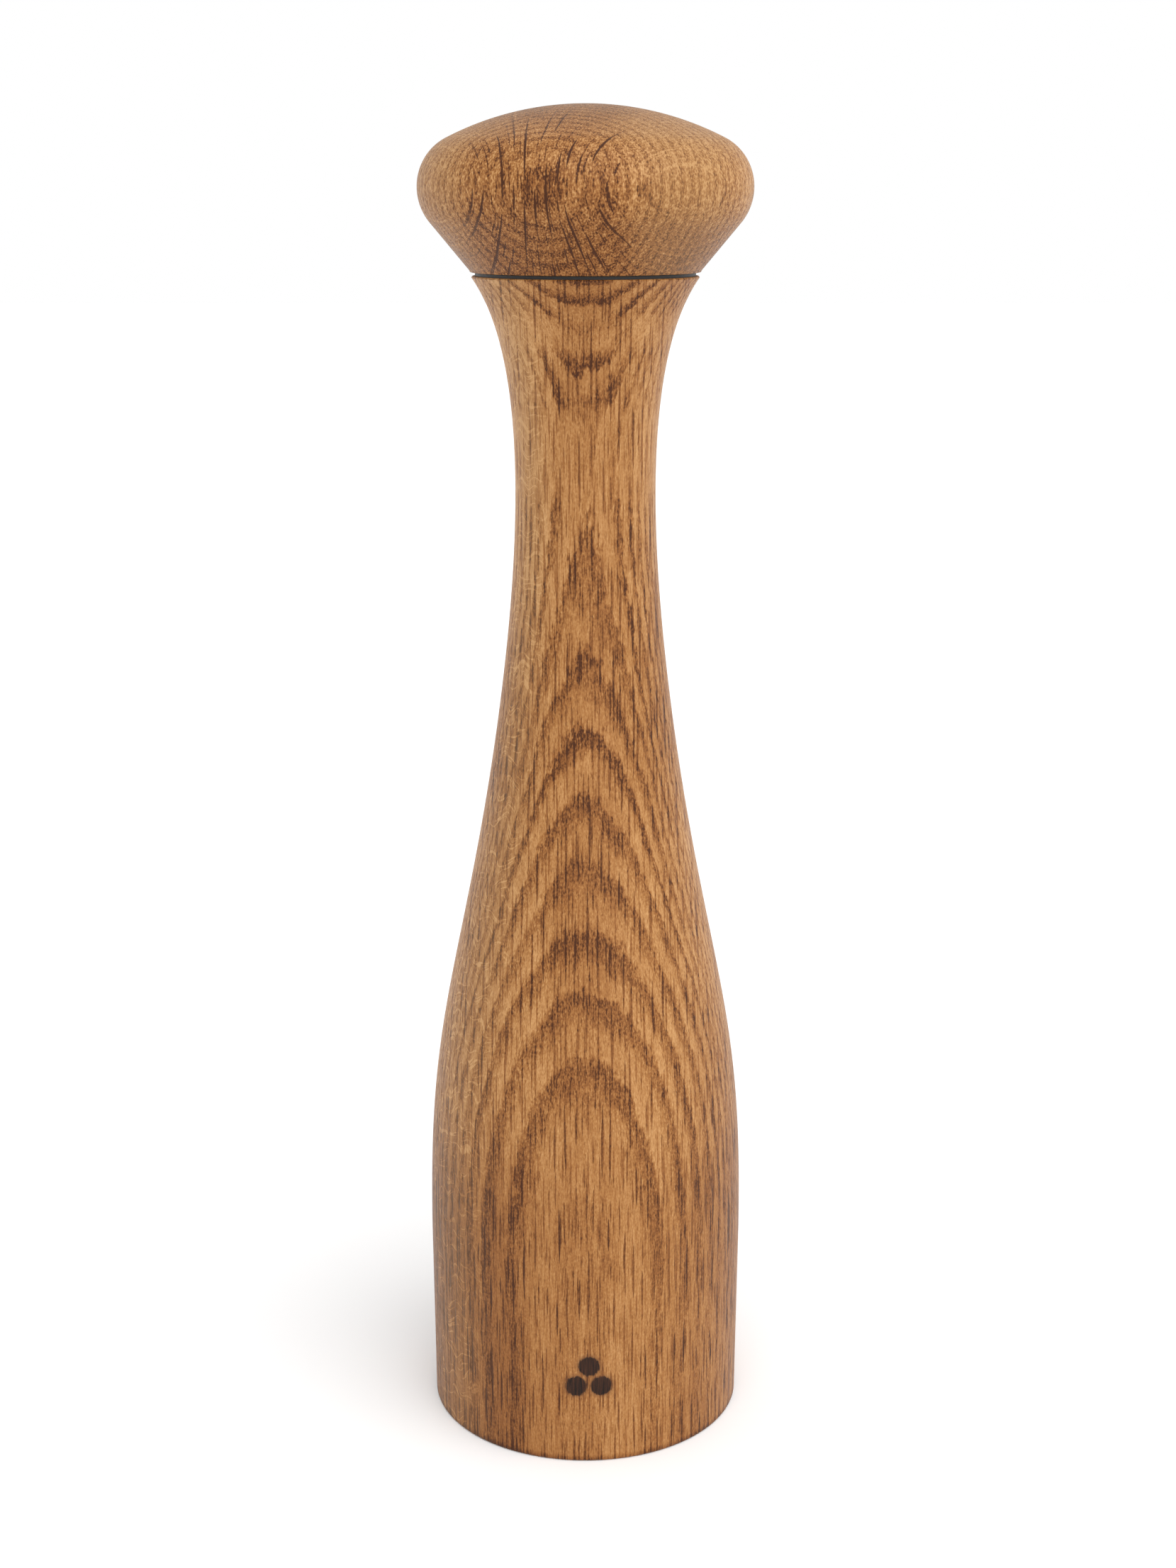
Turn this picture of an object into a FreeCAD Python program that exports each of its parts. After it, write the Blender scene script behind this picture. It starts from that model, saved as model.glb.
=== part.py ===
import FreeCAD, Part
import math
import os

import Sketcher

# Oak pepper mill with a mushroom head and a ceramic grinder that is set from below.
#
# The turned oak body holds the peppercorns in its stepped bore. The grinder sits in the base: a plastic
# housing screwed into the wood, a ceramic ring in a keyed carrier, and a ceramic cone on a long hexagonal
# shaft. The head turns the shaft through a hexagonal socket and pulls straight off for filling. A scalloped
# ring under the base turns on the housing, and its thread raises or lowers the ceramic ring.
#
# Frame: millimetres, +Z up, origin at the centre of the base's resting face, front of the mill towards -Y.

DIMENSIONS = {
    # oak body, outside
    "base_r": (33.9, "radius where the body stands"),
    "base_chamfer": (0.6, "broken edge round the base"),
    "belly_r": (34.25, "widest radius of the body"),
    "belly_z": (40.0, "height where the curve starts"),
    "waist_start_z": (63.9, "height up to which the curve pulls straight up"),
    "shoulder_r": (31.8, "curve's pull below the slope"),
    "shoulder_z": (90.9, "height of that pull"),
    "slope_r": (16.62, "curve's pull above the slope"),
    "slope_z": (151.1, "height of that pull"),
    "neck_pull_r": (11.14, "curve's pull at the neck"),
    "neck_pull_z": (229.8, "height of that pull"),
    "rim_r": (22.9, "radius of the body's top"),
    "body_top_z": (246.9, "height of the body's top face"),
    "rim_edge": (0.35, "broken edge round the top"),
    # oak body, inside
    "recess_r": (28.0, "recess under the base"),
    "recess_top_z": (14.0, "height of the recess's roof"),
    "grinder_bore_r": (21.4, "bore that holds the grinder"),
    "grinder_bore_z": (52.0, "height of that bore's roof"),
    "hopper_r": (13.5, "wide part of the peppercorn bore"),
    "hopper_top_z": (150.0, "height where the bore narrows"),
    "neck_bore_r": (9.5, "narrow part of the peppercorn bore"),
    "neck_bore_z": (154.0, "height where the narrow part starts"),
    "funnel_z": (231.5, "height where the filling funnel starts"),
    "mouth_z": (236.0, "height of the filling mouth's floor"),
    "mouth_r": (14.0, "radius of the filling mouth"),
    "washer_seat_r": (20.8, "seat of the seam washer"),
    "washer_seat_depth": (0.8, "depth of that seat"),
    # seam between body and head
    "seam_gap": (0.7, "gap between body and head"),
    "washer_r": (20.6, "outside of the seam washer in its seat"),
    "washer_lip_r": (22.2, "lip of the washer, which fills the seam"),
    "washer_lip_slack": (0.1, "room between the lip and the head"),
    "washer_hole_r": (14.3, "inside of the seam washer"),
    # oak head
    "head_foot_r": (23.3, "radius of the head's underside"),
    "head_foot_edge": (0.35, "broken edge round it"),
    "head_r": (33.5, "widest radius of the head"),
    "head_rim_round": (10.6, "radius of the round brim"),
    "head_brim_z": (264.0, "height of the widest radius"),
    "head_top_z": (280.0, "height of the mill"),
    "head_recess_r": (20.8, "recess for the socket's flange"),
    "head_recess_depth": (2.0, "depth of that recess"),
    "socket_bore_r": (11.1, "bore in the head for the socket"),
    "socket_bore_z": (268.2, "height of that bore's roof"),
    # socket in the head
    "socket_flange_r": (20.5, "flange of the socket"),
    "socket_r": (11.0, "barrel of the socket"),
    "socket_top_z": (268.0, "top of the barrel"),
    "spigot_r": (13.6, "spigot that centres the head in the mouth"),
    "spigot_z": (240.5, "lower end of the spigot"),
    "spigot_lead": (1.0, "bevel at the spigot's end"),
    "socket_across": (6.3, "hexagonal hole, across flats"),
    "socket_hole_top_z": (266.6, "top of the hexagonal hole"),
    "clip_slot_z": (256.0, "height of the slot for the grip spring"),
    "clip_slot_height": (1.5, "height of that slot"),
    "clip_wire_z": (0.75, "height of the wire's centre in the slot"),
    "clip_slot_half": (4.5, "half its width"),
    "clip_slot_front": (9.0, "its reach to the front"),
    "clip_slot_back": (11.5, "its reach to the back, out through the barrel"),
    "clip_wire_r": (0.6, "grip spring wire"),
    "clip_leg_x": (3.65, "distance of each leg from the axis"),
    "clip_leg_y": (8.0, "front end of the legs"),
    "clip_bend_y": (5.6, "start of the bend"),
    "socket_screw_circle": (16.4, "circle of the socket's screws"),
    "socket_screw_sink": (0.15, "depth of those screws' heads below the flange"),
    # drive shaft
    "shaft_across": (6.0, "hexagonal rod, across flats"),
    "shaft_top_z": (266.0, "upper end"),
    "shaft_end_z": (4.2, "lower end"),
    "shaft_stud_r": (2.5, "round stud at the lower end"),
    "shaft_stud_z": (10.0, "height where the stud starts"),
    "shaft_bevel_reach": (3.2, "length of the taper on the upper end"),
    "hex_hole_across": (6.1, "hexagonal holes of the pieces on the rod"),
    "clip_groove_r": (2.7, "bottom of the clip's groove"),
    "clip_groove_z": (49.6, "height of the groove"),
    "clip_groove_height": (0.8, "height of the groove's walls"),
    # stack on the shaft
    "nut_across": (8.0, "nut, across flats"),
    "nut_z": (5.2, "underside of the nut"),
    "burr_washer_r": (6.0, "washer under the cone"),
    "burr_washer_z": (9.2, "underside of that washer"),
    "cone_z": (10.0, "underside of the cone"),
    "cone_land_z": (11.2, "top of the cone's straight land"),
    "cone_r": (12.2, "widest radius of the cone"),
    "cone_top_r": (7.3, "radius at the top"),
    "cone_top_z": (27.0, "top of the cone"),
    "cone_tooth_depth": (1.3, "depth of the teeth at the top"),
    "cone_tooth_foot": (0.5, "depth of the teeth at the foot"),
    "cone_tooth_half": (2.1, "half the width of a tooth gap at the top"),
    "cone_tooth_foot_half": (2.4, "half its width at the foot"),
    "cone_tooth_twist": (32.0, "slant of the teeth, in degrees round the axis"),
    "cone_tooth_count": (14, "teeth of the cone"),
    "tooth_mouth": (1.2, "reach of a tooth gap past the surface"),
    "tooth_overrun": (0.2, "reach of a tooth gap past the ends"),
    "feed_hub_r": (5.6, "hub of the feed screw"),
    "feed_top_z": (36.0, "top of the feed screw"),
    "feed_vane_r": (10.4, "reach of its vanes"),
    "feed_vane_z": (27.6, "underside of a vane where it starts"),
    "feed_vane_thick": (1.8, "upright thickness of a vane"),
    "feed_vane_climb": (6.0, "climb of a vane"),
    "vane_root": (0.8, "depth of a vane's root in the hub"),
    "feed_vane_pitch": (48.0, "height that a vane would climb in a turn"),
    "seat_washer_top_z": (36.6, "top of the washer under the spring"),
    "spring_coil_r": (4.7, "middle of the spring's wire from the axis"),
    "spring_wire_r": (0.5, "spring wire"),
    "spring_bottom_z": (37.1, "centre of the wire at the bottom"),
    "spring_height": (5.8, "climb of the wire's centre"),
    "spring_pitch": (1.45, "climb in a turn"),
    "thrust_washer_z": (43.4, "underside of the washer under the bush"),
    "bush_z": (44.0, "underside of the bush"),
    "small_washer_r": (6.2, "outside of the shaft's washers"),
    "shaft_hole_r": (3.55, "hole in the shaft's washers"),
    "top_washer_z": (49.05, "underside of the washer on the bush"),
    "top_washer_top_z": (49.6, "top of that washer"),
    "clip_z": (49.6, "underside of the shaft clip"),
    "clip_top_z": (50.3, "top of the shaft clip"),
    "clip_r": (5.4, "outside of the shaft clip"),
    "clip_mouth_half": (2.2, "half the clip's opening"),
    # guide in the housing
    "bush_r": (5.4, "outside of the bush"),
    "bush_hole_r": (3.52, "running hole of the bush"),
    "bush_flange_r": (6.8, "flange of the bush"),
    "guide_z": (43.0, "underside of the guide's ring"),
    "guide_top_z": (48.0, "top of the guide"),
    "guide_r": (19.3, "outside of the guide"),
    "guide_ring_r": (17.4, "inside of the guide's ring"),
    "guide_hub_r": (7.8, "hub of the guide"),
    "guide_hub_z": (45.0, "underside of the hub and arms"),
    "guide_arm_half": (1.6, "half the width of an arm"),
    "arm_root": (1.0, "depth of an arm's root in the ring"),
    "circlip_r": (19.9, "outside of the circlip"),
    "circlip_hole_r": (17.9, "inside of the circlip"),
    "circlip_top_z": (49.0, "top of the circlip"),
    "circlip_gap_half": (3.0, "half the circlip's opening"),
    "circlip_gap_inner": (14.0, "inner end of the opening's cut"),
    "circlip_ear_x": (4.9, "ears, distance from the middle"),
    "circlip_ear_y": (16.7, "ears, distance to the front"),
    "circlip_ear_r": (1.7, "ears, radius"),
    "circlip_hole_small_r": (0.7, "holes in the ears"),
    # grinder housing
    "housing_r": (21.2, "barrel of the housing"),
    "housing_top_z": (51.5, "top of the housing"),
    "flange_r": (27.7, "flange of the housing"),
    "flange_z": (11.0, "underside of the flange"),
    "collar_bore_r": (19.3, "bore for the adjuster's collar"),
    "snap_r": (20.1, "snap groove"),
    "snap_z": (15.6, "underside of the snap groove"),
    "snap_top_z": (17.8, "top of the snap groove"),
    "collar_bore_top_z": (19.1, "top of the collar bore"),
    "chamber_r": (18.0, "bore of the housing above the adjuster"),
    "guide_bore_r": (19.4, "bore that takes the guide"),
    "ledge_z": (43.0, "ledge under the guide"),
    "circlip_groove_r": (20.0, "groove for the circlip"),
    "circlip_groove_top_z": (49.1, "top of that groove"),
    "key_slot_half": (1.8, "half the width of a key slot"),
    "key_slot_r": (19.3, "bottom of a key slot"),
    "key_slot_z": (18.5, "lower end of a key slot"),
    "key_slot_top_z": (28.6, "upper end of a key slot"),
    "housing_screw_circle": (24.6, "circle of the housing's screws"),
    # screws
    "screw_r": (1.4, "shank of a screw"),
    "screw_head_r": (2.25, "head of a screw"),
    "screw_head_height": (1.5, "height of the head's cone"),
    "screw_point": (2.0, "length of a screw's point"),
    "screw_length": (12.0, "length of a housing screw"),
    "pilot_slack": (0.6, "room past the point of a screw"),
    "socket_screw_length": (9.0, "length of a socket screw"),
    "cross_half": (0.3, "half the width of the cross recess"),
    "cross_reach": (1.25, "reach of the cross recess"),
    "cross_depth": (0.9, "depth of the cross recess"),
    "key_count": (3, "keys, arms and screws round the axis"),
    # carrier and ceramic ring
    "carrier_z": (9.0, "underside of the carrier"),
    "carrier_r": (16.5, "outside of the carrier, root of its thread"),
    "ring_r": (15.4, "outside of the ceramic ring"),
    "ring_z": (9.5, "underside of the ceramic ring"),
    "ring_top_z": (23.5, "top of the ceramic ring"),
    "ring_mouth_r": (12.9, "inside of the ceramic ring at the bottom"),
    "ring_throat_r": (10.7, "inside of the ceramic ring at the top"),
    "ring_tooth_depth": (0.9, "depth of the ring's teeth"),
    "ring_tooth_foot": (0.45, "depth of the ring's teeth at the foot"),
    "ring_tooth_half": (2.3, "half the width of a tooth gap at the top"),
    "ring_tooth_foot_half": (2.2, "half its width at the foot"),
    "ring_tooth_twist": (-20.0, "slant of its teeth, in degrees"),
    "ring_tooth_count": (20, "teeth of the ring"),
    "funnel_r": (12.2, "throat of the carrier's funnel"),
    "carrier_top_z": (26.5, "top of the carrier"),
    "carrier_flange_r": (17.6, "rim of the carrier that bears the keys"),
    "carrier_flange_z": (21.0, "underside of that rim"),
    "funnel_top_r": (16.0, "top of the carrier's funnel"),
    "key_r": (19.0, "reach of the carrier's keys"),
    "key_half": (1.5, "half the width of a key"),
    # adjuster
    "adjuster_z": (3.0, "underside of the adjuster"),
    "adjuster_lip_r": (14.2, "opening in the adjuster"),
    "adjuster_lip_z": (6.0, "top of the adjuster's lip"),
    "adjuster_bore_r": (16.7, "bore of the adjuster, crest of its thread"),
    "adjuster_bore_z": (6.7, "lower end of that bore"),
    "grip_r": (20.9, "outside of the adjuster's grip"),
    "grip_top_z": (10.5, "top of the grip"),
    "collar_r": (19.1, "outside of the adjuster's collar"),
    "bead_r": (19.9, "snap bead"),
    "bead_foot_z": (15.8, "lower foot of the bead"),
    "bead_z": (16.2, "underside of the bead's land"),
    "bead_top_z": (16.9, "top of the bead's land"),
    "bead_shoulder_z": (17.6, "upper foot of the bead"),
    "collar_top_z": (18.8, "top of the collar"),
    "scallop_r": (2.3, "radius of a scallop"),
    "scallop_circle": (22.2, "circle of the scallops' centres"),
    "scallop_count": (20, "scallops round the grip"),
    "mark_circle": (17.6, "circle of the setting dots"),
    "mark_depth": (0.35, "depth of the setting dots"),
    "dot_1_turn": (-110.0, "direction of the fine dot"),
    "dot_2_turn": (-90.0, "direction of the medium dot"),
    "dot_3_turn": (-70.0, "direction of the coarse dot"),
    "dot_1_r": (0.6, "fine dot"),
    "dot_2_r": (0.9, "medium dot"),
    "dot_3_r": (1.2, "coarse dot"),
    # thread between adjuster and carrier
    "thread_pitch": (2.5, "climb in a turn"),
    "thread_depth": (0.7, "depth of the thread"),
    "thread_foot_half": (0.55, "half the rib's width at its root"),
    "thread_crest_half": (0.3, "half the rib's width at its crest"),
    "thread_play": (0.14, "play on each side of the rib"),
    "thread_bury": (0.3, "depth by which thread sections run under the surface"),
    "rib_z": (10.6, "centre of the rib where it starts"),
    "rib_height": (5.0, "climb of the rib"),
    "groove_z": (8.1, "centre of the groove where it starts"),
    "groove_height": (12.5, "climb of the groove"),
}

doc = FreeCAD.newDocument("pepper_mill")
sheet = doc.addObject("Spreadsheet::Sheet", "dims")
for row, (alias, (value, meaning)) in enumerate(DIMENSIONS.items(), start=1):
    sheet.set(f"A{row}", alias)
    sheet.set(f"B{row}", str(value))
    sheet.set(f"C{row}", meaning)
    sheet.setAlias(f"B{row}", alias)
doc.recompute()

FOOT_Z = "body_top_z + seam_gap"  # underside of the head
SOCKET_SCREW_Z = FOOT_Z + " + socket_screw_sink"  # heads of the socket's screws
MISSED = 1e-3  # cubic millimetres; a cut that takes away less has missed
WEIGHT = 1.0  # pull of every control point of the body's curve


def number(text):
    """The value of a sum of aliases and plain numbers, such as "ring_z + 1"."""
    total, sign = 0.0, 1.0
    for word in str(text).split():
        if word in "+-":
            sign = 1.0 if word == "+" else -1.0
        else:
            total += sign * (getattr(sheet, word) if word in DIMENSIONS else float(word))
    return total


def formula(text):
    """The same sum as an expression on the sheet."""
    return " ".join(f"dims.{word}" if word in DIMENSIONS else word for word in str(text).split())


def point(across, up):
    return FreeCAD.Vector(number(across), number(up), 0)


def origin_feature(body, role):
    return next(f for f in body.Origin.OriginFeatures if f.Role == role)


def new_body(label):
    body = doc.addObject("PartDesign::Body", label)
    body.Label = label
    return body


def new_sketch(body, name, plane="XZ_Plane", height=None, turn=None):
    """A sketch on one of the body's own planes, moved along the plane's normal and turned about it."""
    sketch = body.newObject("Sketcher::SketchObject", f"{body.Name}_{name}")
    sketch.AttachmentSupport = [(origin_feature(body, plane), "")]
    sketch.MapMode = "FlatFace"
    if height is not None:
        sketch.setExpression("AttachmentOffset.Base.z", formula(height))
    if turn is not None:
        spin = FreeCAD.Rotation(FreeCAD.Vector(0, 0, 1), number(turn))
        sketch.AttachmentOffset = FreeCAD.Placement(sketch.AttachmentOffset.Base, spin)
        sketch.setExpression("AttachmentOffset.Rotation.Angle", f"dims.{turn} * 1 deg")
    return sketch


def pin(sketch, geometry, position, across, up):
    """Holds one point of the sketch at distances bound to the sheet."""
    for kind, text in (("DistanceX", across), ("DistanceY", up)):
        constraint = Sketcher.Constraint(kind, -1, 1, geometry, position, number(text))
        index = sketch.addConstraint(constraint)
        sketch.setExpression(f"Constraints[{index}]", formula(text))


def add_lines(sketch, corners, closed=True):
    """Straight edges through the corners, each corner held by its two distances."""
    ends = corners[1:] + corners[:1] if closed else corners[1:]
    lines = []
    for start, end in zip(corners, ends):
        lines.append(sketch.addGeometry(Part.LineSegment(point(*start), point(*end)), False))
    for before, after in zip(lines, lines[1:]):
        sketch.addConstraint(Sketcher.Constraint("Coincident", before, 2, after, 1))
    if closed:
        sketch.addConstraint(Sketcher.Constraint("Coincident", lines[-1], 2, lines[0], 1))
    for line, corner in zip(lines, corners):
        pin(sketch, line, 1, *corner)
    return lines


def add_circle(sketch, across, up, radius):
    circle = Part.Circle(point(across, up), FreeCAD.Vector(0, 0, 1), number(radius))
    index = sketch.addGeometry(circle, False)
    pin(sketch, index, 3, across, up)
    held = sketch.addConstraint(Sketcher.Constraint("Radius", index, number(radius)))
    sketch.setExpression(f"Constraints[{held}]", formula(radius))
    return index


def add_hexagon(sketch, across_flats):
    """A hexagon about the sketch's origin with two upright sides."""
    reach = number(across_flats) / math.sqrt(3)
    corners = [
        FreeCAD.Vector(reach * math.sin(k * math.pi / 3), reach * math.cos(k * math.pi / 3), 0)
        for k in range(6)
    ]
    round_it = Part.Circle(FreeCAD.Vector(0, 0, 0), FreeCAD.Vector(0, 0, 1), reach)
    circle = sketch.addGeometry(round_it, True)
    sketch.addConstraint(Sketcher.Constraint("Coincident", circle, 3, -1, 1))
    size = sketch.addConstraint(Sketcher.Constraint("Radius", circle, reach))
    sketch.setExpression(f"Constraints[{size}]", f"dims.{across_flats} / sqrt(3)")
    sides = []
    for start, end in zip(corners, corners[1:] + corners[:1]):
        sides.append(sketch.addGeometry(Part.LineSegment(start, end), False))
    for before, after in zip(sides, sides[1:] + sides[:1]):
        sketch.addConstraint(Sketcher.Constraint("Coincident", before, 2, after, 1))
        sketch.addConstraint(Sketcher.Constraint("PointOnObject", after, 1, circle))
    for side in sides[1:]:
        sketch.addConstraint(Sketcher.Constraint("Equal", sides[0], side))
    sketch.addConstraint(Sketcher.Constraint("Vertical", sides[1]))


def add_rectangle(sketch, left, front, right, back):
    add_lines(sketch, [(left, front), (right, front), (right, back), (left, back)])


def add_tooth(sketch, tip, mouth, half):
    """A triangle across a tooth gap, from its tip in the ceramic to its mouth clear of the surface."""
    add_lines(sketch, [(tip, "0"), (mouth, "- " + half), (mouth, half)])


def revolve(body, sketch, name="turned"):
    feature = body.newObject("PartDesign::Revolution", f"{body.Name}_{name}")
    feature.Profile = sketch
    feature.ReferenceAxis = (sketch, ["V_Axis"])
    feature.Angle = 360
    return feature


def turned(label, corners):
    """A body of revolution whose outline is straight edges through (radius, height) corners."""
    body = new_body(label)
    sketch = new_sketch(body, "outline")
    add_lines(sketch, corners)
    revolve(body, sketch)
    doc.recompute()
    return body


def tube(label, inner, outer, bottom, top):
    return turned(label, [(inner, bottom), (outer, bottom), (outer, top), (inner, top)])


def pad(body, sketch, length, name="pad"):
    feature = body.newObject("PartDesign::Pad", f"{body.Name}_{name}")
    feature.Profile = sketch
    feature.setExpression("Length", formula(length))
    doc.recompute()
    return feature


def cut(body, sketch, depth, name, upward=True):
    """A pocket of that depth, along +Z or -Z. Stops if it takes nothing away."""
    before = body.Shape.Volume
    feature = body.newObject("PartDesign::Pocket", f"{body.Name}_{name}")
    feature.Profile = sketch
    feature.Reversed = upward
    feature.setExpression("Length", formula(depth))
    doc.recompute()
    if body.Shape.Volume > before - MISSED:
        raise RuntimeError(f"{feature.Name} cuts nothing")
    return feature


def around(body, features, count, name="pattern"):
    """Repeats features evenly round the vertical axis."""
    pattern = body.newObject("PartDesign::PolarPattern", f"{body.Name}_{name}")
    pattern.Originals = features
    pattern.Axis = (origin_feature(body, "Z_Axis"), [""])
    pattern.Angle = 360
    pattern.setExpression("Occurrences", formula(count))
    body.Tip = pattern
    doc.recompute()
    return pattern


def turn_away(body, corners, name):
    """Turns a groove into the body, its section given as (radius, height) corners."""
    before = body.Shape.Volume
    sketch = new_sketch(body, f"{name}_section")
    add_lines(sketch, corners)
    groove = body.newObject("PartDesign::Groove", f"{body.Name}_{name}")
    groove.Profile = sketch
    groove.ReferenceAxis = (sketch, ["V_Axis"])
    groove.Angle = 360
    doc.recompute()
    if body.Shape.Volume > before - MISSED:
        raise RuntimeError(f"{groove.Name} cuts nothing")


def bore_through(body, radius, bottom, depth):
    hole = new_sketch(body, "bore", "XY_Plane", bottom)
    add_circle(hole, "0", "0", radius)
    cut(body, hole, depth, "bored")


def countersink(body, circle, face, sink, thickness):
    """Holes for countersunk screws whose heads face down, evenly round the axis."""
    shank = new_sketch(body, "screw_hole", "XY_Plane", face)
    add_circle(shank, "0", circle, "screw_r")
    hole = cut(body, shank, thickness, "screw_hole_cut")
    low = new_sketch(body, "sink_low", "XY_Plane", face)
    add_circle(low, "0", circle, f"screw_head_r + {sink}")
    high = new_sketch(body, "sink_high", "XY_Plane", f"{face} + {sink} + screw_head_height")
    add_circle(high, "0", circle, "screw_r")
    cone = loft_between(body, low, high, "SubtractiveLoft", "sink")
    around(body, [hole, cone], "key_count", "screw_holes")


def loft_between(body, lower, upper, kind, name):
    """Joins (AdditiveLoft) or removes (SubtractiveLoft) the solid between two sketches."""
    feature = body.newObject(f"PartDesign::{kind}", f"{body.Name}_{name}")
    feature.Profile = lower
    feature.Sections = [upper]
    feature.Ruled = True
    doc.recompute()
    return feature


def helix(body, sketch, kind, pitch, height, name):
    """Winds a sketch up the vertical axis as a rib (AdditiveHelix) or a groove (SubtractiveHelix)."""
    feature = body.newObject(f"PartDesign::{kind}", f"{body.Name}_{name}")
    feature.Profile = sketch
    feature.ReferenceAxis = (sketch, ["V_Axis"])
    feature.Mode = 0
    feature.setExpression("Pitch", formula(pitch))
    feature.setExpression("Height", formula(height))
    doc.recompute()
    return feature


# ---------------------------------------------------------------- oak body


def make_body_shell():
    body = new_body("body_shell")
    sketch = new_sketch(body, "outline")
    pulls = [
        ("belly_r", "belly_z"),
        ("belly_r", "waist_start_z"),
        ("shoulder_r", "shoulder_z"),
        ("slope_r", "slope_z"),
        ("neck_pull_r", "neck_pull_z"),
        ("rim_r", "body_top_z - rim_edge"),
    ]
    handles = []
    for across, up in pulls:
        circle = Part.Circle(point(across, up), FreeCAD.Vector(0, 0, 1), WEIGHT)
        handles.append(sketch.addGeometry(circle, True))
    sketch.addConstraint(Sketcher.Constraint("Weight", handles[0], WEIGHT))
    for handle in handles[1:]:
        sketch.addConstraint(Sketcher.Constraint("Equal", handles[0], handle))
    curve = Part.BSplineCurve([point(*p) for p in pulls], None, None, False, 3, None, False)
    side = sketch.addGeometry(curve, False)
    kind = "InternalAlignment:Sketcher::BSplineControlPoint"
    for index, (handle, (across, up)) in enumerate(zip(handles, pulls)):
        sketch.addConstraint(Sketcher.Constraint(kind, handle, 3, side, index))
        pin(sketch, handle, 3, across, up)
    corners = [
        ("rim_r - rim_edge", "body_top_z"),
        ("washer_seat_r", "body_top_z"),
        ("washer_seat_r", "body_top_z - washer_seat_depth"),
        ("mouth_r", "body_top_z - washer_seat_depth"),
        ("mouth_r", "mouth_z"),
        ("neck_bore_r", "funnel_z"),
        ("neck_bore_r", "neck_bore_z"),
        ("hopper_r", "hopper_top_z"),
        ("hopper_r", "grinder_bore_z"),
        ("grinder_bore_r", "grinder_bore_z"),
        ("grinder_bore_r", "recess_top_z"),
        ("recess_r", "recess_top_z"),
        ("recess_r", "0"),
        ("base_r - base_chamfer", "0"),
        ("base_r", "base_chamfer"),
    ]
    lines = add_lines(sketch, corners, closed=False)
    rim = sketch.addGeometry(Part.LineSegment(point(*pulls[-1]), point(*corners[0])), False)
    foot = sketch.addGeometry(Part.LineSegment(point(*corners[-1]), point(*pulls[0])), False)
    for first, second in (((side, 2), (rim, 1)), ((rim, 2), (lines[0], 1))):
        sketch.addConstraint(Sketcher.Constraint("Coincident", *first, *second))
    for first, second in (((lines[-1], 2), (foot, 1)), ((foot, 2), (side, 1))):
        sketch.addConstraint(Sketcher.Constraint("Coincident", *first, *second))
    pin(sketch, foot, 1, *corners[-1])
    revolve(body, sketch)
    doc.recompute()

    pilot = new_sketch(body, "pilot", "XY_Plane", "recess_top_z")
    add_circle(pilot, "0", "housing_screw_circle", "screw_r")
    depth = "screw_length - recess_top_z + flange_z + pilot_slack"
    around(body, [cut(body, pilot, depth, "pilot_hole")], "key_count", "pilot_holes")
    return body


# ---------------------------------------------------------------- oak head


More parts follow.
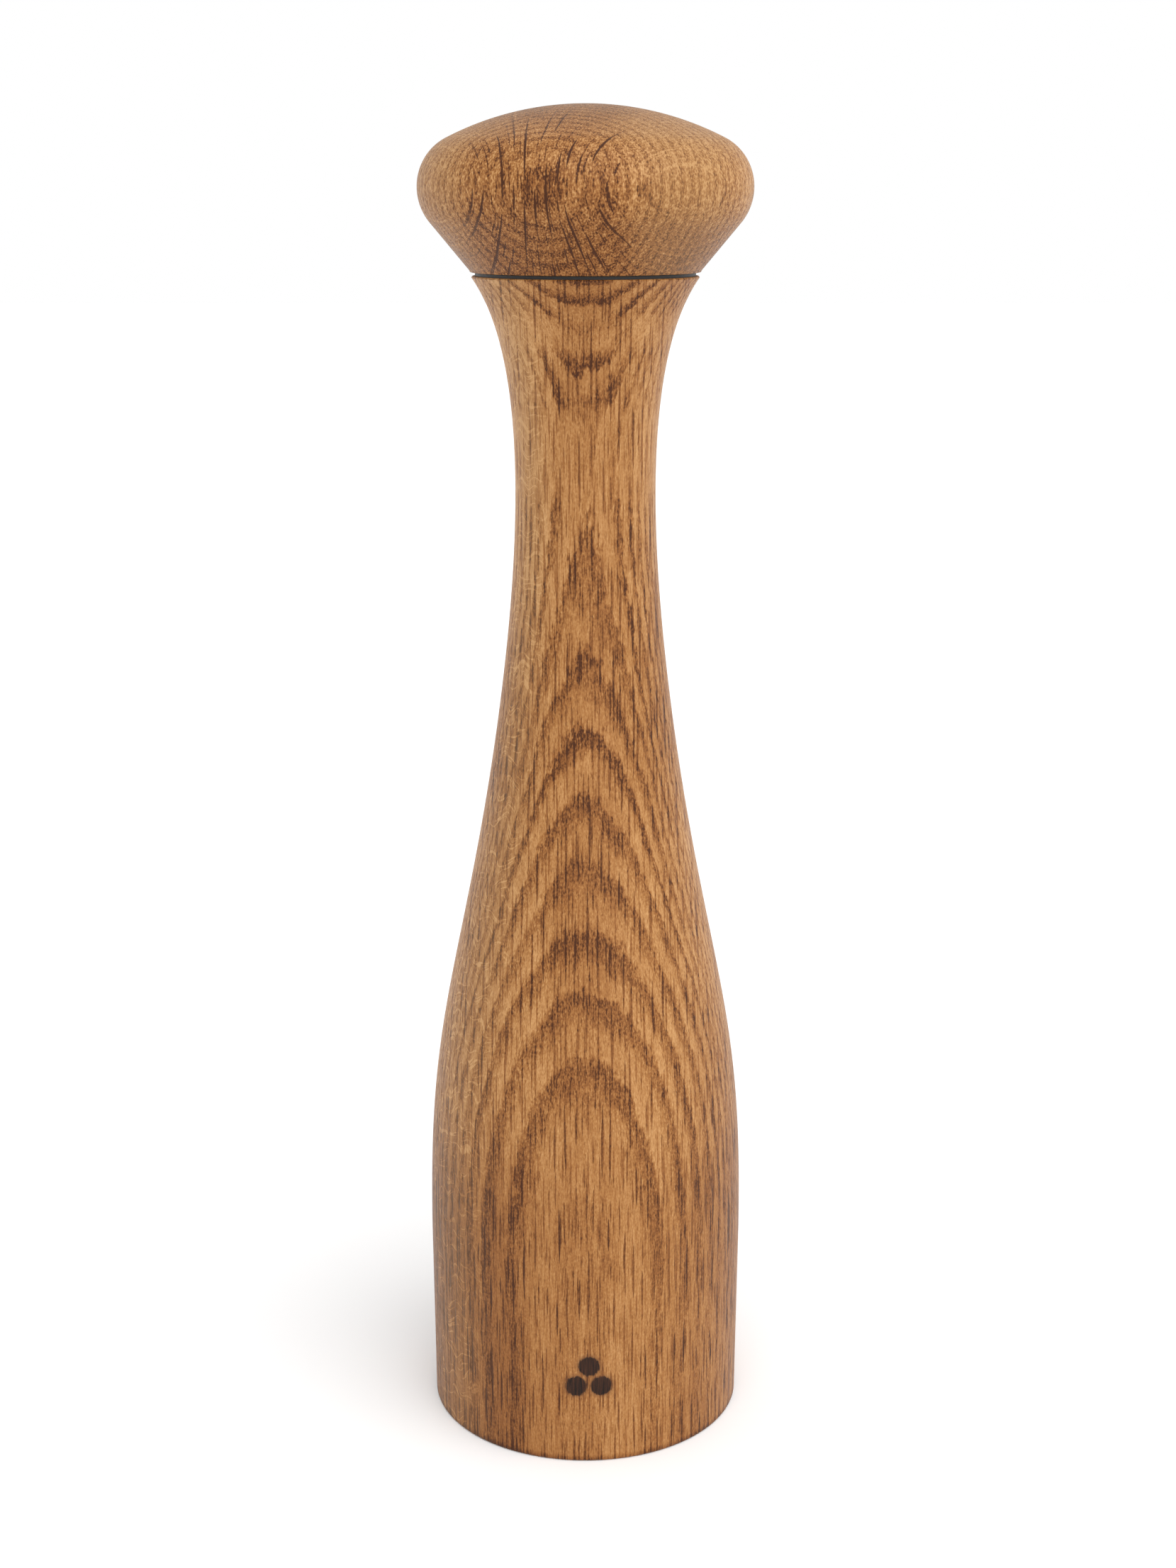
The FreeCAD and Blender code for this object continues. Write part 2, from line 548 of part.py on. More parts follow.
def make_head():
    """Straight flare, round brim and flat crown, each arc tangent to the next."""
    body = new_body("head")
    sketch = new_sketch(body, "outline")
    up = FreeCAD.Vector(0, 0, 1)
    brim = number("head_rim_round")
    brim_centre = point("head_r - head_rim_round", "head_brim_z")
    flare_foot = ("head_foot_r", FOOT_Z + " + head_foot_edge")
    foot = point(*flare_foot)
    reach = brim_centre - foot
    lean = math.atan2(reach.y, reach.x) - math.asin(brim / reach.Length)
    flare_length = math.sqrt(reach.Length**2 - brim**2)
    flare_end = foot + FreeCAD.Vector(math.cos(lean), math.sin(lean), 0) * flare_length
    rise = number("head_top_z - head_brim_z") - brim
    drop = (brim_centre.x**2 - rise**2) / (2 * rise)
    crown_centre = FreeCAD.Vector(0, brim_centre.y - drop, 0)
    crown_radius = number("head_top_z") - crown_centre.y
    meet_turn = math.atan2(drop, brim_centre.x)

    flare = sketch.addGeometry(Part.LineSegment(foot, flare_end), False)
    brim_circle = Part.Circle(brim_centre, up, brim)
    brim_start = math.atan2(flare_end.y - brim_centre.y, flare_end.x - brim_centre.x)
    brim_arc = sketch.addGeometry(Part.ArcOfCircle(brim_circle, brim_start, meet_turn), False)
    crown_circle = Part.Circle(crown_centre, up, crown_radius)
    crown = sketch.addGeometry(Part.ArcOfCircle(crown_circle, meet_turn, math.pi / 2), False)
    sketch.addConstraint(Sketcher.Constraint("Tangent", flare, 2, brim_arc, 1))
    sketch.addConstraint(Sketcher.Constraint("Tangent", brim_arc, 2, crown, 1))
    held = sketch.addConstraint(Sketcher.Constraint("Radius", brim_arc, brim))
    sketch.setExpression(f"Constraints[{held}]", formula("head_rim_round"))
    pin(sketch, brim_arc, 3, "head_r - head_rim_round", "head_brim_z")
    sketch.addConstraint(Sketcher.Constraint("PointOnObject", crown, 3, -2))
    recess_roof = FOOT_Z + " + head_recess_depth"
    corners = [
        ("0", "head_top_z"),
        ("0", "socket_bore_z"),
        ("socket_bore_r", "socket_bore_z"),
        ("socket_bore_r", recess_roof),
        ("head_recess_r", recess_roof),
        ("head_recess_r", FOOT_Z),
        ("head_foot_r - head_foot_edge", FOOT_Z),
        flare_foot,
    ]
    lines = add_lines(sketch, corners, closed=False)
    sketch.addConstraint(Sketcher.Constraint("Coincident", crown, 2, lines[0], 1))
    sketch.addConstraint(Sketcher.Constraint("Coincident", lines[-1], 2, flare, 1))
    pin(sketch, flare, 1, *flare_foot)
    revolve(body, sketch)
    doc.recompute()

    pilot = new_sketch(body, "pilot", "XY_Plane", recess_roof)
    add_circle(pilot, "0", "socket_screw_circle", "screw_r")
    depth = "socket_screw_length + socket_screw_sink + pilot_slack - head_recess_depth"
    around(body, [cut(body, pilot, depth, "pilot_hole")], "key_count", "pilot_holes")
    return body


def make_seam_washer():
    """Plastic ring let into the body's top: the head's socket turns on it, and its lip fills the seam."""
    lip_top = FOOT_Z + " - washer_lip_slack"
    return turned(
        "seam_washer",
        [
            ("washer_hole_r", "body_top_z - washer_seat_depth"),
            ("washer_r", "body_top_z - washer_seat_depth"),
            ("washer_r", "body_top_z"),
            ("washer_lip_r", "body_top_z"),
            ("washer_lip_r", lip_top),
            ("washer_r", lip_top),
            ("washer_r", FOOT_Z),
            ("washer_hole_r", FOOT_Z),
        ],
    )


# ---------------------------------------------------------------- socket in the head


def make_head_socket():
    flange_top = FOOT_Z + " + head_recess_depth"
    body = turned(
        "head_socket",
        [
            ("0", "spigot_z"),
            ("spigot_r - spigot_lead", "spigot_z"),
            ("spigot_r", "spigot_z + spigot_lead"),
            ("spigot_r", FOOT_Z),
            ("socket_flange_r", FOOT_Z),
            ("socket_flange_r", flange_top),
            ("socket_r", flange_top),
            ("socket_r", "socket_top_z"),
            ("0", "socket_top_z"),
        ],
    )
    hexagon = new_sketch(body, "hexagon", "XY_Plane", "spigot_z")
    add_hexagon(hexagon, "socket_across")
    cut(body, hexagon, "socket_hole_top_z - spigot_z", "hexagonal_hole")

    slot = new_sketch(body, "slot", "XY_Plane", "clip_slot_z")
    add_rectangle(slot, "- clip_slot_half", "- clip_slot_front", "clip_slot_half", "clip_slot_back")
    cut(body, slot, "clip_slot_height", "spring_slot")
    countersink(body, "socket_screw_circle", FOOT_Z, "socket_screw_sink", "head_recess_depth")
    return body


def make_grip_spring():
    """U of spring wire whose legs bear on two flats of the shaft."""
    body = new_body("grip_spring")
    height = "clip_slot_z + clip_wire_z"
    path = new_sketch(body, "path", "XY_Plane", height)
    front, bend = "- clip_leg_y", "clip_bend_y"
    right_leg = Part.LineSegment(point("clip_leg_x", front), point("clip_leg_x", bend))
    right = path.addGeometry(right_leg, False)
    circle = Part.Circle(point("0", bend), FreeCAD.Vector(0, 0, 1), number("clip_leg_x"))
    back = path.addGeometry(Part.ArcOfCircle(circle, 0, math.pi), False)
    left_leg = Part.LineSegment(point("- clip_leg_x", bend), point("- clip_leg_x", front))
    left = path.addGeometry(left_leg, False)
    path.addConstraint(Sketcher.Constraint("Tangent", right, 2, back, 1))
    path.addConstraint(Sketcher.Constraint("Tangent", back, 2, left, 1))
    pin(path, right, 1, "clip_leg_x", front)
    pin(path, left, 2, "- clip_leg_x", front)
    pin(path, back, 3, "0", bend)
    wire = new_sketch(body, "wire", "XZ_Plane", "clip_leg_y")
    add_circle(wire, "clip_leg_x", height, "clip_wire_r")
    pipe = body.newObject("PartDesign::AdditivePipe", "grip_spring_bent")
    pipe.Profile = wire
    pipe.Spine = path
    doc.recompute()
    return body


# ---------------------------------------------------------------- shaft and what turns with it


def make_drive_shaft():
    body = new_body("drive_shaft")
    hexagon = new_sketch(body, "hexagon", "XY_Plane", "shaft_stud_z")
    add_hexagon(hexagon, "shaft_across")
    pad(body, hexagon, "shaft_top_z - shaft_stud_z", "rod")
    stud = new_sketch(body, "stud", "XY_Plane", "shaft_end_z")
    add_circle(stud, "0", "0", "shaft_stud_r")
    pad(body, stud, "shaft_stud_z - shaft_end_z", "stud")

    clear = "shaft_across"
    foot, top = "clip_groove_z", "clip_groove_z + clip_groove_height"
    groove = [("clip_groove_r", foot), (clear, foot), (clear, top), ("clip_groove_r", top)]
    turn_away(body, groove, "clip_groove")
    tip, start = "shaft_top_z", "shaft_top_z - shaft_bevel_reach"
    turn_away(body, [("shaft_stud_r", tip), (clear, tip), (clear, start)], "bevel")
    return body


def make_burr_nut():
    body = new_body("burr_nut")
    hexagon = new_sketch(body, "hexagon", "XY_Plane", "nut_z")
    add_hexagon(hexagon, "nut_across")
    pad(body, hexagon, "burr_washer_z - nut_z", "hexagon_bar")
    bore_through(body, "shaft_stud_r", "nut_z", "burr_washer_z - nut_z")
    return body


def make_inner_burr():
    """Ceramic cone with slanted V-shaped teeth, deep at the top and fine at the foot."""
    body = turned(
        "inner_burr",
        [
            ("0", "cone_z"),
            ("cone_r", "cone_z"),
            ("cone_r", "cone_land_z"),
            ("cone_top_r", "cone_top_z"),
            ("0", "cone_top_z"),
        ],
    )
    hexagon = new_sketch(body, "hexagon", "XY_Plane", "cone_z")
    add_hexagon(hexagon, "hex_hole_across")
    cut(body, hexagon, "cone_top_z - cone_z", "hexagonal_hole")

    past = "tooth_overrun"
    low = new_sketch(body, "tooth_foot", "XY_Plane", f"cone_z - {past}")
    add_tooth(low, "cone_r - cone_tooth_foot", "cone_r + tooth_mouth", "cone_tooth_foot_half")
    high = new_sketch(body, "tooth_top", "XY_Plane", f"cone_top_z + {past}", "cone_tooth_twist")
    add_tooth(high, "cone_top_r - cone_tooth_depth", "cone_top_r + tooth_mouth", "cone_tooth_half")
    tooth = loft_between(body, low, high, "SubtractiveLoft", "tooth")
    around(body, [tooth], "cone_tooth_count", "teeth")
    return body


def make_feed_screw():
    """Hub with three steep vanes that crack the peppercorns and push them into the burrs."""
    body = tube("feed_screw", "0", "feed_hub_r", "cone_top_z", "feed_top_z")
    vane = new_sketch(body, "vane")
    low, high = "feed_vane_z", "feed_vane_z + feed_vane_thick"
    add_rectangle(vane, "feed_hub_r - vane_root", low, "feed_vane_r", high)
    wound = helix(body, vane, "AdditiveHelix", "feed_vane_pitch", "feed_vane_climb", "vane_wound")
    around(body, [wound], "key_count", "vanes")
    hexagon = new_sketch(body, "hexagon", "XY_Plane", "cone_top_z")
    add_hexagon(hexagon, "hex_hole_across")
    cut(body, hexagon, "feed_top_z - cone_top_z", "hexagonal_hole")
    return body


def make_shaft_spring():
    body = new_body("shaft_spring")
    wire = new_sketch(body, "wire")
    add_circle(wire, "spring_coil_r", "spring_bottom_z", "spring_wire_r")
    helix(body, wire, "AdditiveHelix", "spring_pitch", "spring_height", "coil")
    return body


def make_shaft_clip():
    body = tube("shaft_clip", "clip_groove_r", "clip_r", "clip_z", "clip_top_z")
    mouth = new_sketch(body, "mouth", "XY_Plane", "clip_z")
    add_rectangle(mouth, "- clip_mouth_half", "0", "clip_mouth_half", "clip_r")
    cut(body, mouth, "clip_top_z - clip_z", "mouth")
    return body


# ---------------------------------------------------------------- housing and shaft guide


def make_mill_housing():
    body = turned(
        "mill_housing",
        [
            ("collar_bore_r", "flange_z"),
            ("flange_r", "flange_z"),
            ("flange_r", "recess_top_z"),
            ("housing_r", "recess_top_z"),
            ("housing_r", "housing_top_z"),
            ("guide_bore_r", "housing_top_z"),
            ("guide_bore_r", "circlip_groove_top_z"),
            ("circlip_groove_r", "circlip_groove_top_z"),
            ("circlip_groove_r", "guide_top_z"),
            ("guide_bore_r", "guide_top_z"),
            ("guide_bore_r", "ledge_z"),
            ("chamber_r", "ledge_z"),
            ("chamber_r", "collar_bore_top_z"),
            ("collar_bore_r", "collar_bore_top_z"),
            ("collar_bore_r", "snap_top_z"),
            ("snap_r", "snap_top_z"),
            ("snap_r", "snap_z"),
            ("collar_bore_r", "snap_z"),
        ],
    )
    slot = new_sketch(body, "key_slot", "XY_Plane", "key_slot_z")
    add_rectangle(slot, "- key_slot_half", "ring_r", "key_slot_half", "key_slot_r")
    slotted = cut(body, slot, "key_slot_top_z - key_slot_z", "key_slot")
    around(body, [slotted], "key_count", "key_slots")
    countersink(body, "housing_screw_circle", "flange_z", "0", "recess_top_z - flange_z")
    return body


def make_shaft_guide():
    """Ring with three arms that centres the shaft and lets the peppercorns past."""
    body = tube("shaft_guide", "guide_ring_r", "guide_r", "guide_z", "guide_top_z")
    thickness = "guide_top_z - guide_hub_z"
    arm = new_sketch(body, "arm", "XY_Plane", "guide_hub_z")
    add_rectangle(arm, "- guide_arm_half", "0", "guide_arm_half", "guide_ring_r + arm_root")
    around(body, [pad(body, arm, thickness, "arm_pad")], "key_count", "arms")
    hub = new_sketch(body, "hub", "XY_Plane", "guide_hub_z")
    add_circle(hub, "0", "0", "guide_hub_r")
    pad(body, hub, thickness, "hub_pad")
    bore_through(body, "bush_r", "guide_hub_z", thickness)
    return body


def make_guide_bush():
    return turned(
        "guide_bush",
        [
            ("bush_hole_r", "bush_z"),
            ("bush_flange_r", "bush_z"),
            ("bush_flange_r", "guide_hub_z"),
            ("bush_r", "guide_hub_z"),
            ("bush_r", "top_washer_z"),
            ("bush_hole_r", "top_washer_z"),
        ],
    )


def make_guide_circlip():
    """Spring ring with two drilled ears beside its opening."""
    body = tube("guide_circlip", "circlip_hole_r", "circlip_r", "guide_top_z", "circlip_top_z")
    thickness = "circlip_top_z - guide_top_z"
    ears = new_sketch(body, "ears", "XY_Plane", "guide_top_z")
    for side in ("", "- "):
        add_circle(ears, side + "circlip_ear_x", "- circlip_ear_y", "circlip_ear_r")
    pad(body, ears, thickness, "ears_pad")
    holes = new_sketch(body, "holes", "XY_Plane", "guide_top_z")
    for side in ("", "- "):
        add_circle(holes, side + "circlip_ear_x", "- circlip_ear_y", "circlip_hole_small_r")
    cut(body, holes, thickness, "ear_holes")
    gap = new_sketch(body, "gap", "XY_Plane", "guide_top_z")
    add_rectangle(gap, "- circlip_gap_half", "- circlip_r", "circlip_gap_half", "- circlip_gap_inner")
    cut(body, gap, thickness, "gap_cut")
    return body


# ---------------------------------------------------------------- ceramic ring, carrier and adjuster


def make_outer_burr():
    """Ceramic ring with slanted V-shaped teeth inside."""
    body = turned(
        "outer_burr",
        [
            ("ring_mouth_r", "ring_z"),
            ("ring_r", "ring_z"),
            ("ring_r", "ring_top_z"),
            ("ring_throat_r", "ring_top_z"),
        ],
    )
    past = "tooth_overrun"
    low = new_sketch(body, "tooth_foot", "XY_Plane", f"ring_z - {past}")
    mouth = "ring_mouth_r - tooth_mouth"
    add_tooth(low, "ring_mouth_r + ring_tooth_foot", mouth, "ring_tooth_foot_half")
    high = new_sketch(body, "tooth_top", "XY_Plane", f"ring_top_z + {past}", "ring_tooth_twist")
    throat = "ring_throat_r - tooth_mouth"
    add_tooth(high, "ring_throat_r + ring_tooth_depth", throat, "ring_tooth_half")
    tooth = loft_between(body, low, high, "SubtractiveLoft", "tooth")
    around(body, [tooth], "ring_tooth_count", "teeth")
    return body


def thread_profile(sketch, root, rise, height, play):
    """Trapezoid of a thread: root radius, signed rise to the crest, middle height, and play all round."""
    crest = root + rise
    foot_half, crest_half = f"thread_foot_half{play}", f"thread_crest_half{play}"
    add_lines(
        sketch,
        [
            (root, minus(height, foot_half)),
            (crest, minus(height, crest_half)),
            (crest, f"{height} + {crest_half}"),
            (root, f"{height} + {foot_half}"),
        ],
    )


def minus(first, second):
    """The sum first - second, both sums."""
    swap = {"+": "-", "-": "+"}
    return f"{first} - " + " ".join(swap.get(word, word) for word in second.split())


def make_burr_carrier():
    body = turned(
        "burr_carrier",
        [
            ("ring_r", "carrier_z"),
            ("carrier_r", "carrier_z"),
            ("carrier_r", "carrier_flange_z"),
            ("carrier_flange_r", "carrier_flange_z"),
            ("carrier_flange_r", "carrier_top_z"),
            ("funnel_top_r", "carrier_top_z"),
            ("funnel_r", "ring_top_z"),
            ("ring_r", "ring_top_z"),
        ],
    )
    key = new_sketch(body, "key", "XY_Plane", "carrier_flange_z")
    add_rectangle(key, "- key_half", "carrier_r", "key_half", "key_r")
    keyed = pad(body, key, "carrier_top_z - carrier_flange_z", "key_pad")
    around(body, [keyed], "key_count", "keys")
    rib = new_sketch(body, "rib")
    thread_profile(rib, "carrier_r - thread_bury", " + thread_bury + thread_depth", "rib_z", "")
    helix(body, rib, "AdditiveHelix", "thread_pitch", "rib_height", "thread")
    return body


def make_adjuster_ring():
    body = turned(
        "adjuster_ring",
        [
            ("adjuster_lip_r", "adjuster_z"),
            ("grip_r", "adjuster_z"),
            ("grip_r", "grip_top_z"),
            ("collar_r", "grip_top_z"),
            ("collar_r", "bead_foot_z"),
            ("bead_r", "bead_z"),
            ("bead_r", "bead_top_z"),
            ("collar_r", "bead_shoulder_z"),
            ("collar_r", "collar_top_z"),
            ("adjuster_bore_r", "collar_top_z"),
            ("adjuster_bore_r", "adjuster_bore_z"),
            ("adjuster_lip_r", "adjuster_lip_z"),
        ],
    )
    scallop = new_sketch(body, "scallop", "XY_Plane", "adjuster_z")
    add_circle(scallop, "0", "scallop_circle", "scallop_r")
    scalloped = cut(body, scallop, "grip_top_z - adjuster_z", "scallop_cut")
    around(body, [scalloped], "scallop_count", "scallops")
    for dot in ("dot_1", "dot_2", "dot_3"):
        sunk = new_sketch(body, dot, "XY_Plane", "adjuster_z", f"{dot}_turn")
        add_circle(sunk, "mark_circle", "0", f"{dot}_r")
        cut(body, sunk, "mark_depth", f"setting_{dot}")
    groove = new_sketch(body, "groove")
    play = " + thread_play"
    rise = " + thread_bury + thread_depth + thread_play"
    thread_profile(groove, "adjuster_bore_r - thread_bury", rise, "groove_z", play)
    helix(body, groove, "SubtractiveHelix", "thread_pitch", "groove_height", "thread")
    return body


# ---------------------------------------------------------------- screws


def make_screws(label, circle, seat, length):
    """Countersunk wood screws round the axis, points up, as one group of separate solids."""
    screws = []
    for index in range(int(number("key_count"))):
        screw = turned(
            f"{label}_{index + 1}",
            [
                ("0", "0"),
                ("screw_head_r", "0"),
                ("screw_r", "screw_head_height"),
                ("screw_r", f"{length} - screw_point"),
                ("0", length),
            ],
        )
        cross = new_sketch(screw, "cross", "XY_Plane", "0")
        half, reach = "cross_half", "cross_reach"
        arms = [(half, half), (reach, half), (reach, "- " + half), (half, "- " + half)]
        arms += [(half, "- " + reach), ("- " + half, "- " + reach), ("- " + half, "- " + half)]
        arms += [("- " + reach, "- " + half), ("- " + reach, half), ("- " + half, half)]
        arms += [("- " + half, reach), (half, reach)]
        add_lines(cross, arms)
        cut(screw, cross, "cross_depth", "cross_recess")
        turn = f"(90 + 360 / dims.key_count * {index}) * 1 deg"
        screw.setExpression("Placement.Base.x", f"dims.{circle} * cos({turn})")
        screw.setExpression("Placement.Base.y", f"dims.{circle} * sin({turn})")
        screw.setExpression("Placement.Base.z", formula(seat))
        screws.append(screw)
    group = doc.addObject("Part::Compound", label)
    group.Label = label
    group.Links = screws
    return group


sub_parts = [
    make_body_shell(),
    make_head(),
    make_seam_washer(),
    make_head_socket(),
    make_grip_spring(),
    make_screws("socket_screws", "socket_screw_circle", SOCKET_SCREW_Z, "socket_screw_length"),
    make_drive_shaft(),
    make_burr_nut(),
    tube("burr_washer", "shaft_stud_r", "burr_washer_r", "burr_washer_z", "cone_z"),
    make_inner_burr(),
    make_feed_screw(),
    tube("spring_washer", "shaft_hole_r", "small_washer_r", "feed_top_z", "seat_washer_top_z"),
    make_shaft_spring(),
    tube("thrust_washer", "shaft_hole_r", "small_washer_r", "thrust_washer_z", "bush_z"),
    make_guide_bush(),
    make_shaft_guide(),
    make_guide_circlip(),
    tube("top_washer", "shaft_hole_r", "small_washer_r", "top_washer_z", "top_washer_top_z"),
    make_shaft_clip(),
    make_mill_housing(),
    make_screws("housing_screws", "housing_screw_circle", "flange_z", "screw_length"),
    make_outer_burr(),
    make_burr_carrier(),
    make_adjuster_ring(),
]
doc.recompute()

for item in doc.Objects:
    if "Invalid" in item.State or "Error" in item.State:
        raise RuntimeError(f"{item.Name} failed: {item.State}")
for sub_part in sub_parts:
    if sub_part.Shape.isNull() or not sub_part.Shape.isValid():
        raise RuntimeError(f"{sub_part.Label} has no valid shape")

os.makedirs("parts", exist_ok=True)
for sub_part in sub_parts:
    sub_part.Shape.exportStep(f"parts/{sub_part.Label}.step")
    print(sub_part.Label, len(sub_part.Shape.Solids), round(sub_part.Shape.Volume, 1))
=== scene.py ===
"""Looks of the turned oak pepper mill: oiled oak with its rings, pores and rays, and the grinder inside it.

Lengths in this file are millimetres, in the part's own frame, until MM turns them into metres.
Only the studio, with its floor and camera, is in metres. The front of the mill, with the mark, faces -Y.
"""
import math
from collections import namedtuple

import bmesh
import bpy
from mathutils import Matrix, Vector


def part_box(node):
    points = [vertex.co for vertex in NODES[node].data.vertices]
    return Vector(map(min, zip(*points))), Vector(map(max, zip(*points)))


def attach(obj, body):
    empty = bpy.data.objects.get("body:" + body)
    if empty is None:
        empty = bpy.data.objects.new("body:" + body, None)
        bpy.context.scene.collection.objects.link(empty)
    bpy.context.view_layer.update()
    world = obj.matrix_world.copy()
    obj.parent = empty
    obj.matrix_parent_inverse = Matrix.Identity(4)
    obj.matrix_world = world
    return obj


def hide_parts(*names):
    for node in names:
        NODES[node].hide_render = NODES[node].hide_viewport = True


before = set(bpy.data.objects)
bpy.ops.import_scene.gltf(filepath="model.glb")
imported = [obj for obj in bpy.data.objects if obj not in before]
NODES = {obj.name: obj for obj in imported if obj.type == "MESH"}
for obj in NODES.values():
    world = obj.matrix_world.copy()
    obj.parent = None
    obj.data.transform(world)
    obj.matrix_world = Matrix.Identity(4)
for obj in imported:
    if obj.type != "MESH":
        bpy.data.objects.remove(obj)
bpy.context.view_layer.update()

MM = 0.001


def height_of(node):
    """Lowest and highest point of a node, in millimetres."""
    low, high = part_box(node)
    return low.z / MM, high.z / MM


BODY_TOP = height_of("body_shell")[1]
HEAD_FOOT, HEAD_TOP = height_of("head")

# ---------------------------------------------------------------- turned outlines

# Points of an outline are (radius, height).
# Outside of the body: a straight foot, then one cubic curve pulled by these points.
BASE_RADIUS, BASE_ROUND = 33.9, 0.6
BODY_PULLS = [
    (34.25, 40.0),
    (34.25, 63.9),
    (31.8, 90.9),
    (16.62, 151.1),
    (11.14, 229.8),
    (22.9, BODY_TOP - 0.35),
]
# Inside of the body, from the washer's seat at the top down to the base.
BODY_BORE = [
    (20.8, BODY_TOP),
    (20.8, BODY_TOP - 0.8),
    (14.0, BODY_TOP - 0.8),
    (14.0, 236.0),
    (9.5, 231.5),
    (9.5, 154.0),
    (13.5, 150.0),
    (13.5, 52.0),
    (21.4, 52.0),
    (21.4, 14.0),
    (28.0, 14.0),
    (28.0, 0.0),
]
# Outside of the head: a straight flare, a round brim and a flat crown.
HEAD_FOOT_RADIUS, HEAD_RADIUS, BRIM_HEIGHT, BRIM_ROUND = 23.3, 33.5, 264.0, 10.6
# Inside of the head, from the middle of the socket's roof to the washer's seat.
ROOF, SEAT = 268.2, HEAD_FOOT + 2.0
HEAD_BORE = [(0.0, ROOF), (11.1, ROOF), (11.1, SEAT), (20.8, SEAT), (20.8, HEAD_FOOT)]
# Roundness of the two edges at the seam.
EDGE = 0.35
# How many steps make up each piece of an outline, and a whole turn.
EDGE_STEPS, BASE_STEPS, FOOT_STEPS, SIDE_STEPS = 4, 5, 36, 190
FLARE_STEPS, BRIM_STEPS, CROWN_STEPS = 18, 40, 30
TURN_STEPS = 224
# An edge sharper than this is shown as an edge. A point closer to the axis than ON_AXIS is on it.
SHARPEST_SMOOTH = math.radians(35)
ON_AXIS = 1e-6


def cubic_curve(pulls, count):
    """Points of the clamped uniform cubic B-spline with these control points, ends included."""
    knots = [0.0] * 4 + [float(k) for k in range(1, len(pulls) - 3)] + [float(len(pulls) - 3)] * 4
    points = []
    for step in range(count + 1):
        t = knots[-1] * step / count
        span = min(int(t), len(pulls) - 4) + 3
        row = [Vector(pulls[span - 3 + k]) for k in range(4)]
        for level in range(1, 4):
            for k in range(3, level - 1, -1):
                low = knots[span - 3 + k]
                share = (t - low) / (knots[span + 1 + k - level] - low)
                row[k] = row[k - 1].lerp(row[k], share)
        points.append(tuple(row[3]))
    return points


def arc(centre, radius, start, end, count):
    """Points on an arc, angles in radians."""
    turns = [start + (end - start) * step / count for step in range(count + 1)]
    return [(centre[0] + radius * math.cos(t), centre[1] + radius * math.sin(t)) for t in turns]


def straight(first, last, count):
    """Points between two points, with neither of them."""
    steps = [step / count for step in range(1, count)]
    return [tuple(Vector(first).lerp(Vector(last), s)) for s in steps]


def body_outline():
    """From the inner edge of the base, up the outside and down the bore."""
    foot = arc((BASE_RADIUS - BASE_ROUND, BASE_ROUND), BASE_ROUND, -math.pi / 2, 0.0, BASE_STEPS)
    side = straight(foot[-1], BODY_PULLS[0], FOOT_STEPS) + cubic_curve(BODY_PULLS, SIDE_STEPS)
    rim_radius, rim_height = BODY_PULLS[-1]
    rim = arc((rim_radius - EDGE, rim_height), EDGE, 0.0, math.pi / 2, EDGE_STEPS)[1:]
    return [BODY_BORE[-1]] + foot + side + rim + BODY_BORE[:-1]


def head_outline():
    """From the bore's edge, round the foot, up the flare and brim to the crown, then down the bore."""
    foot = Vector((HEAD_FOOT_RADIUS, HEAD_FOOT + EDGE))
    centre = Vector((HEAD_RADIUS - BRIM_ROUND, BRIM_HEIGHT))
    reach = centre - foot
    lean = math.atan2(reach.y, reach.x) - math.asin(BRIM_ROUND / reach.length)
    flare = math.sqrt(reach.length**2 - BRIM_ROUND**2)
    flare_end = foot + Vector((math.cos(lean), math.sin(lean))) * flare
    rise = HEAD_TOP - BRIM_HEIGHT - BRIM_ROUND
    drop = (centre.x**2 - rise**2) / (2 * rise)
    crown_radius = HEAD_TOP - BRIM_HEIGHT + drop
    meet = math.atan2(drop, centre.x)
    rounding = arc((HEAD_FOOT_RADIUS - EDGE, HEAD_FOOT + EDGE), EDGE, -math.pi / 2, 0.0, EDGE_STEPS)
    brim_start = math.atan2(flare_end.y - centre.y, flare_end.x - centre.x)
    outside = rounding + straight(rounding[-1], flare_end, FLARE_STEPS)
    outside += arc(centre, BRIM_ROUND, brim_start, meet, BRIM_STEPS)
    outside += arc((0.0, BRIM_HEIGHT - drop), crown_radius, meet, math.pi / 2, CROWN_STEPS)[1:]
    return [HEAD_BORE[-1]] + outside + HEAD_BORE[:-1]


def turned_mesh(name, outline):
    """A closed mesh turned about Z from an outline that goes once round the section."""
    mesh = bmesh.new()
    rings = []
    for radius, height in outline:
        if radius < ON_AXIS:
            rings.append([mesh.verts.new((0.0, 0.0, height * MM))])
            continue
        turns = [2 * math.pi * step / TURN_STEPS for step in range(TURN_STEPS)]
        spots = [(radius * MM * math.sin(t), -radius * MM * math.cos(t), height * MM) for t in turns]
        rings.append([mesh.verts.new(spot) for spot in spots])
    for lower, upper in zip(rings, rings[1:] + rings[:1]):
        if len(lower) == 1 and len(upper) == 1:
            continue
        for k in range(TURN_STEPS):
            after = (k + 1) % TURN_STEPS
            corners = [lower[k % len(lower)], lower[after % len(lower)]]
            corners += [upper[after % len(upper)], upper[k % len(upper)]]
            mesh.faces.new(list(dict.fromkeys(corners)))
    bmesh.ops.recalc_face_normals(mesh, faces=mesh.faces)
    data = bpy.data.meshes.new(name)
    mesh.to_mesh(data)
    mesh.free()
    data.polygons.foreach_set("use_smooth", [True] * len(data.polygons))
    data.set_sharp_from_angle(angle=SHARPEST_SMOOTH)
    piece = bpy.data.objects.new(name, data)
    bpy.context.scene.collection.objects.link(piece)
    return piece


# ---------------------------------------------------------------- node helpers


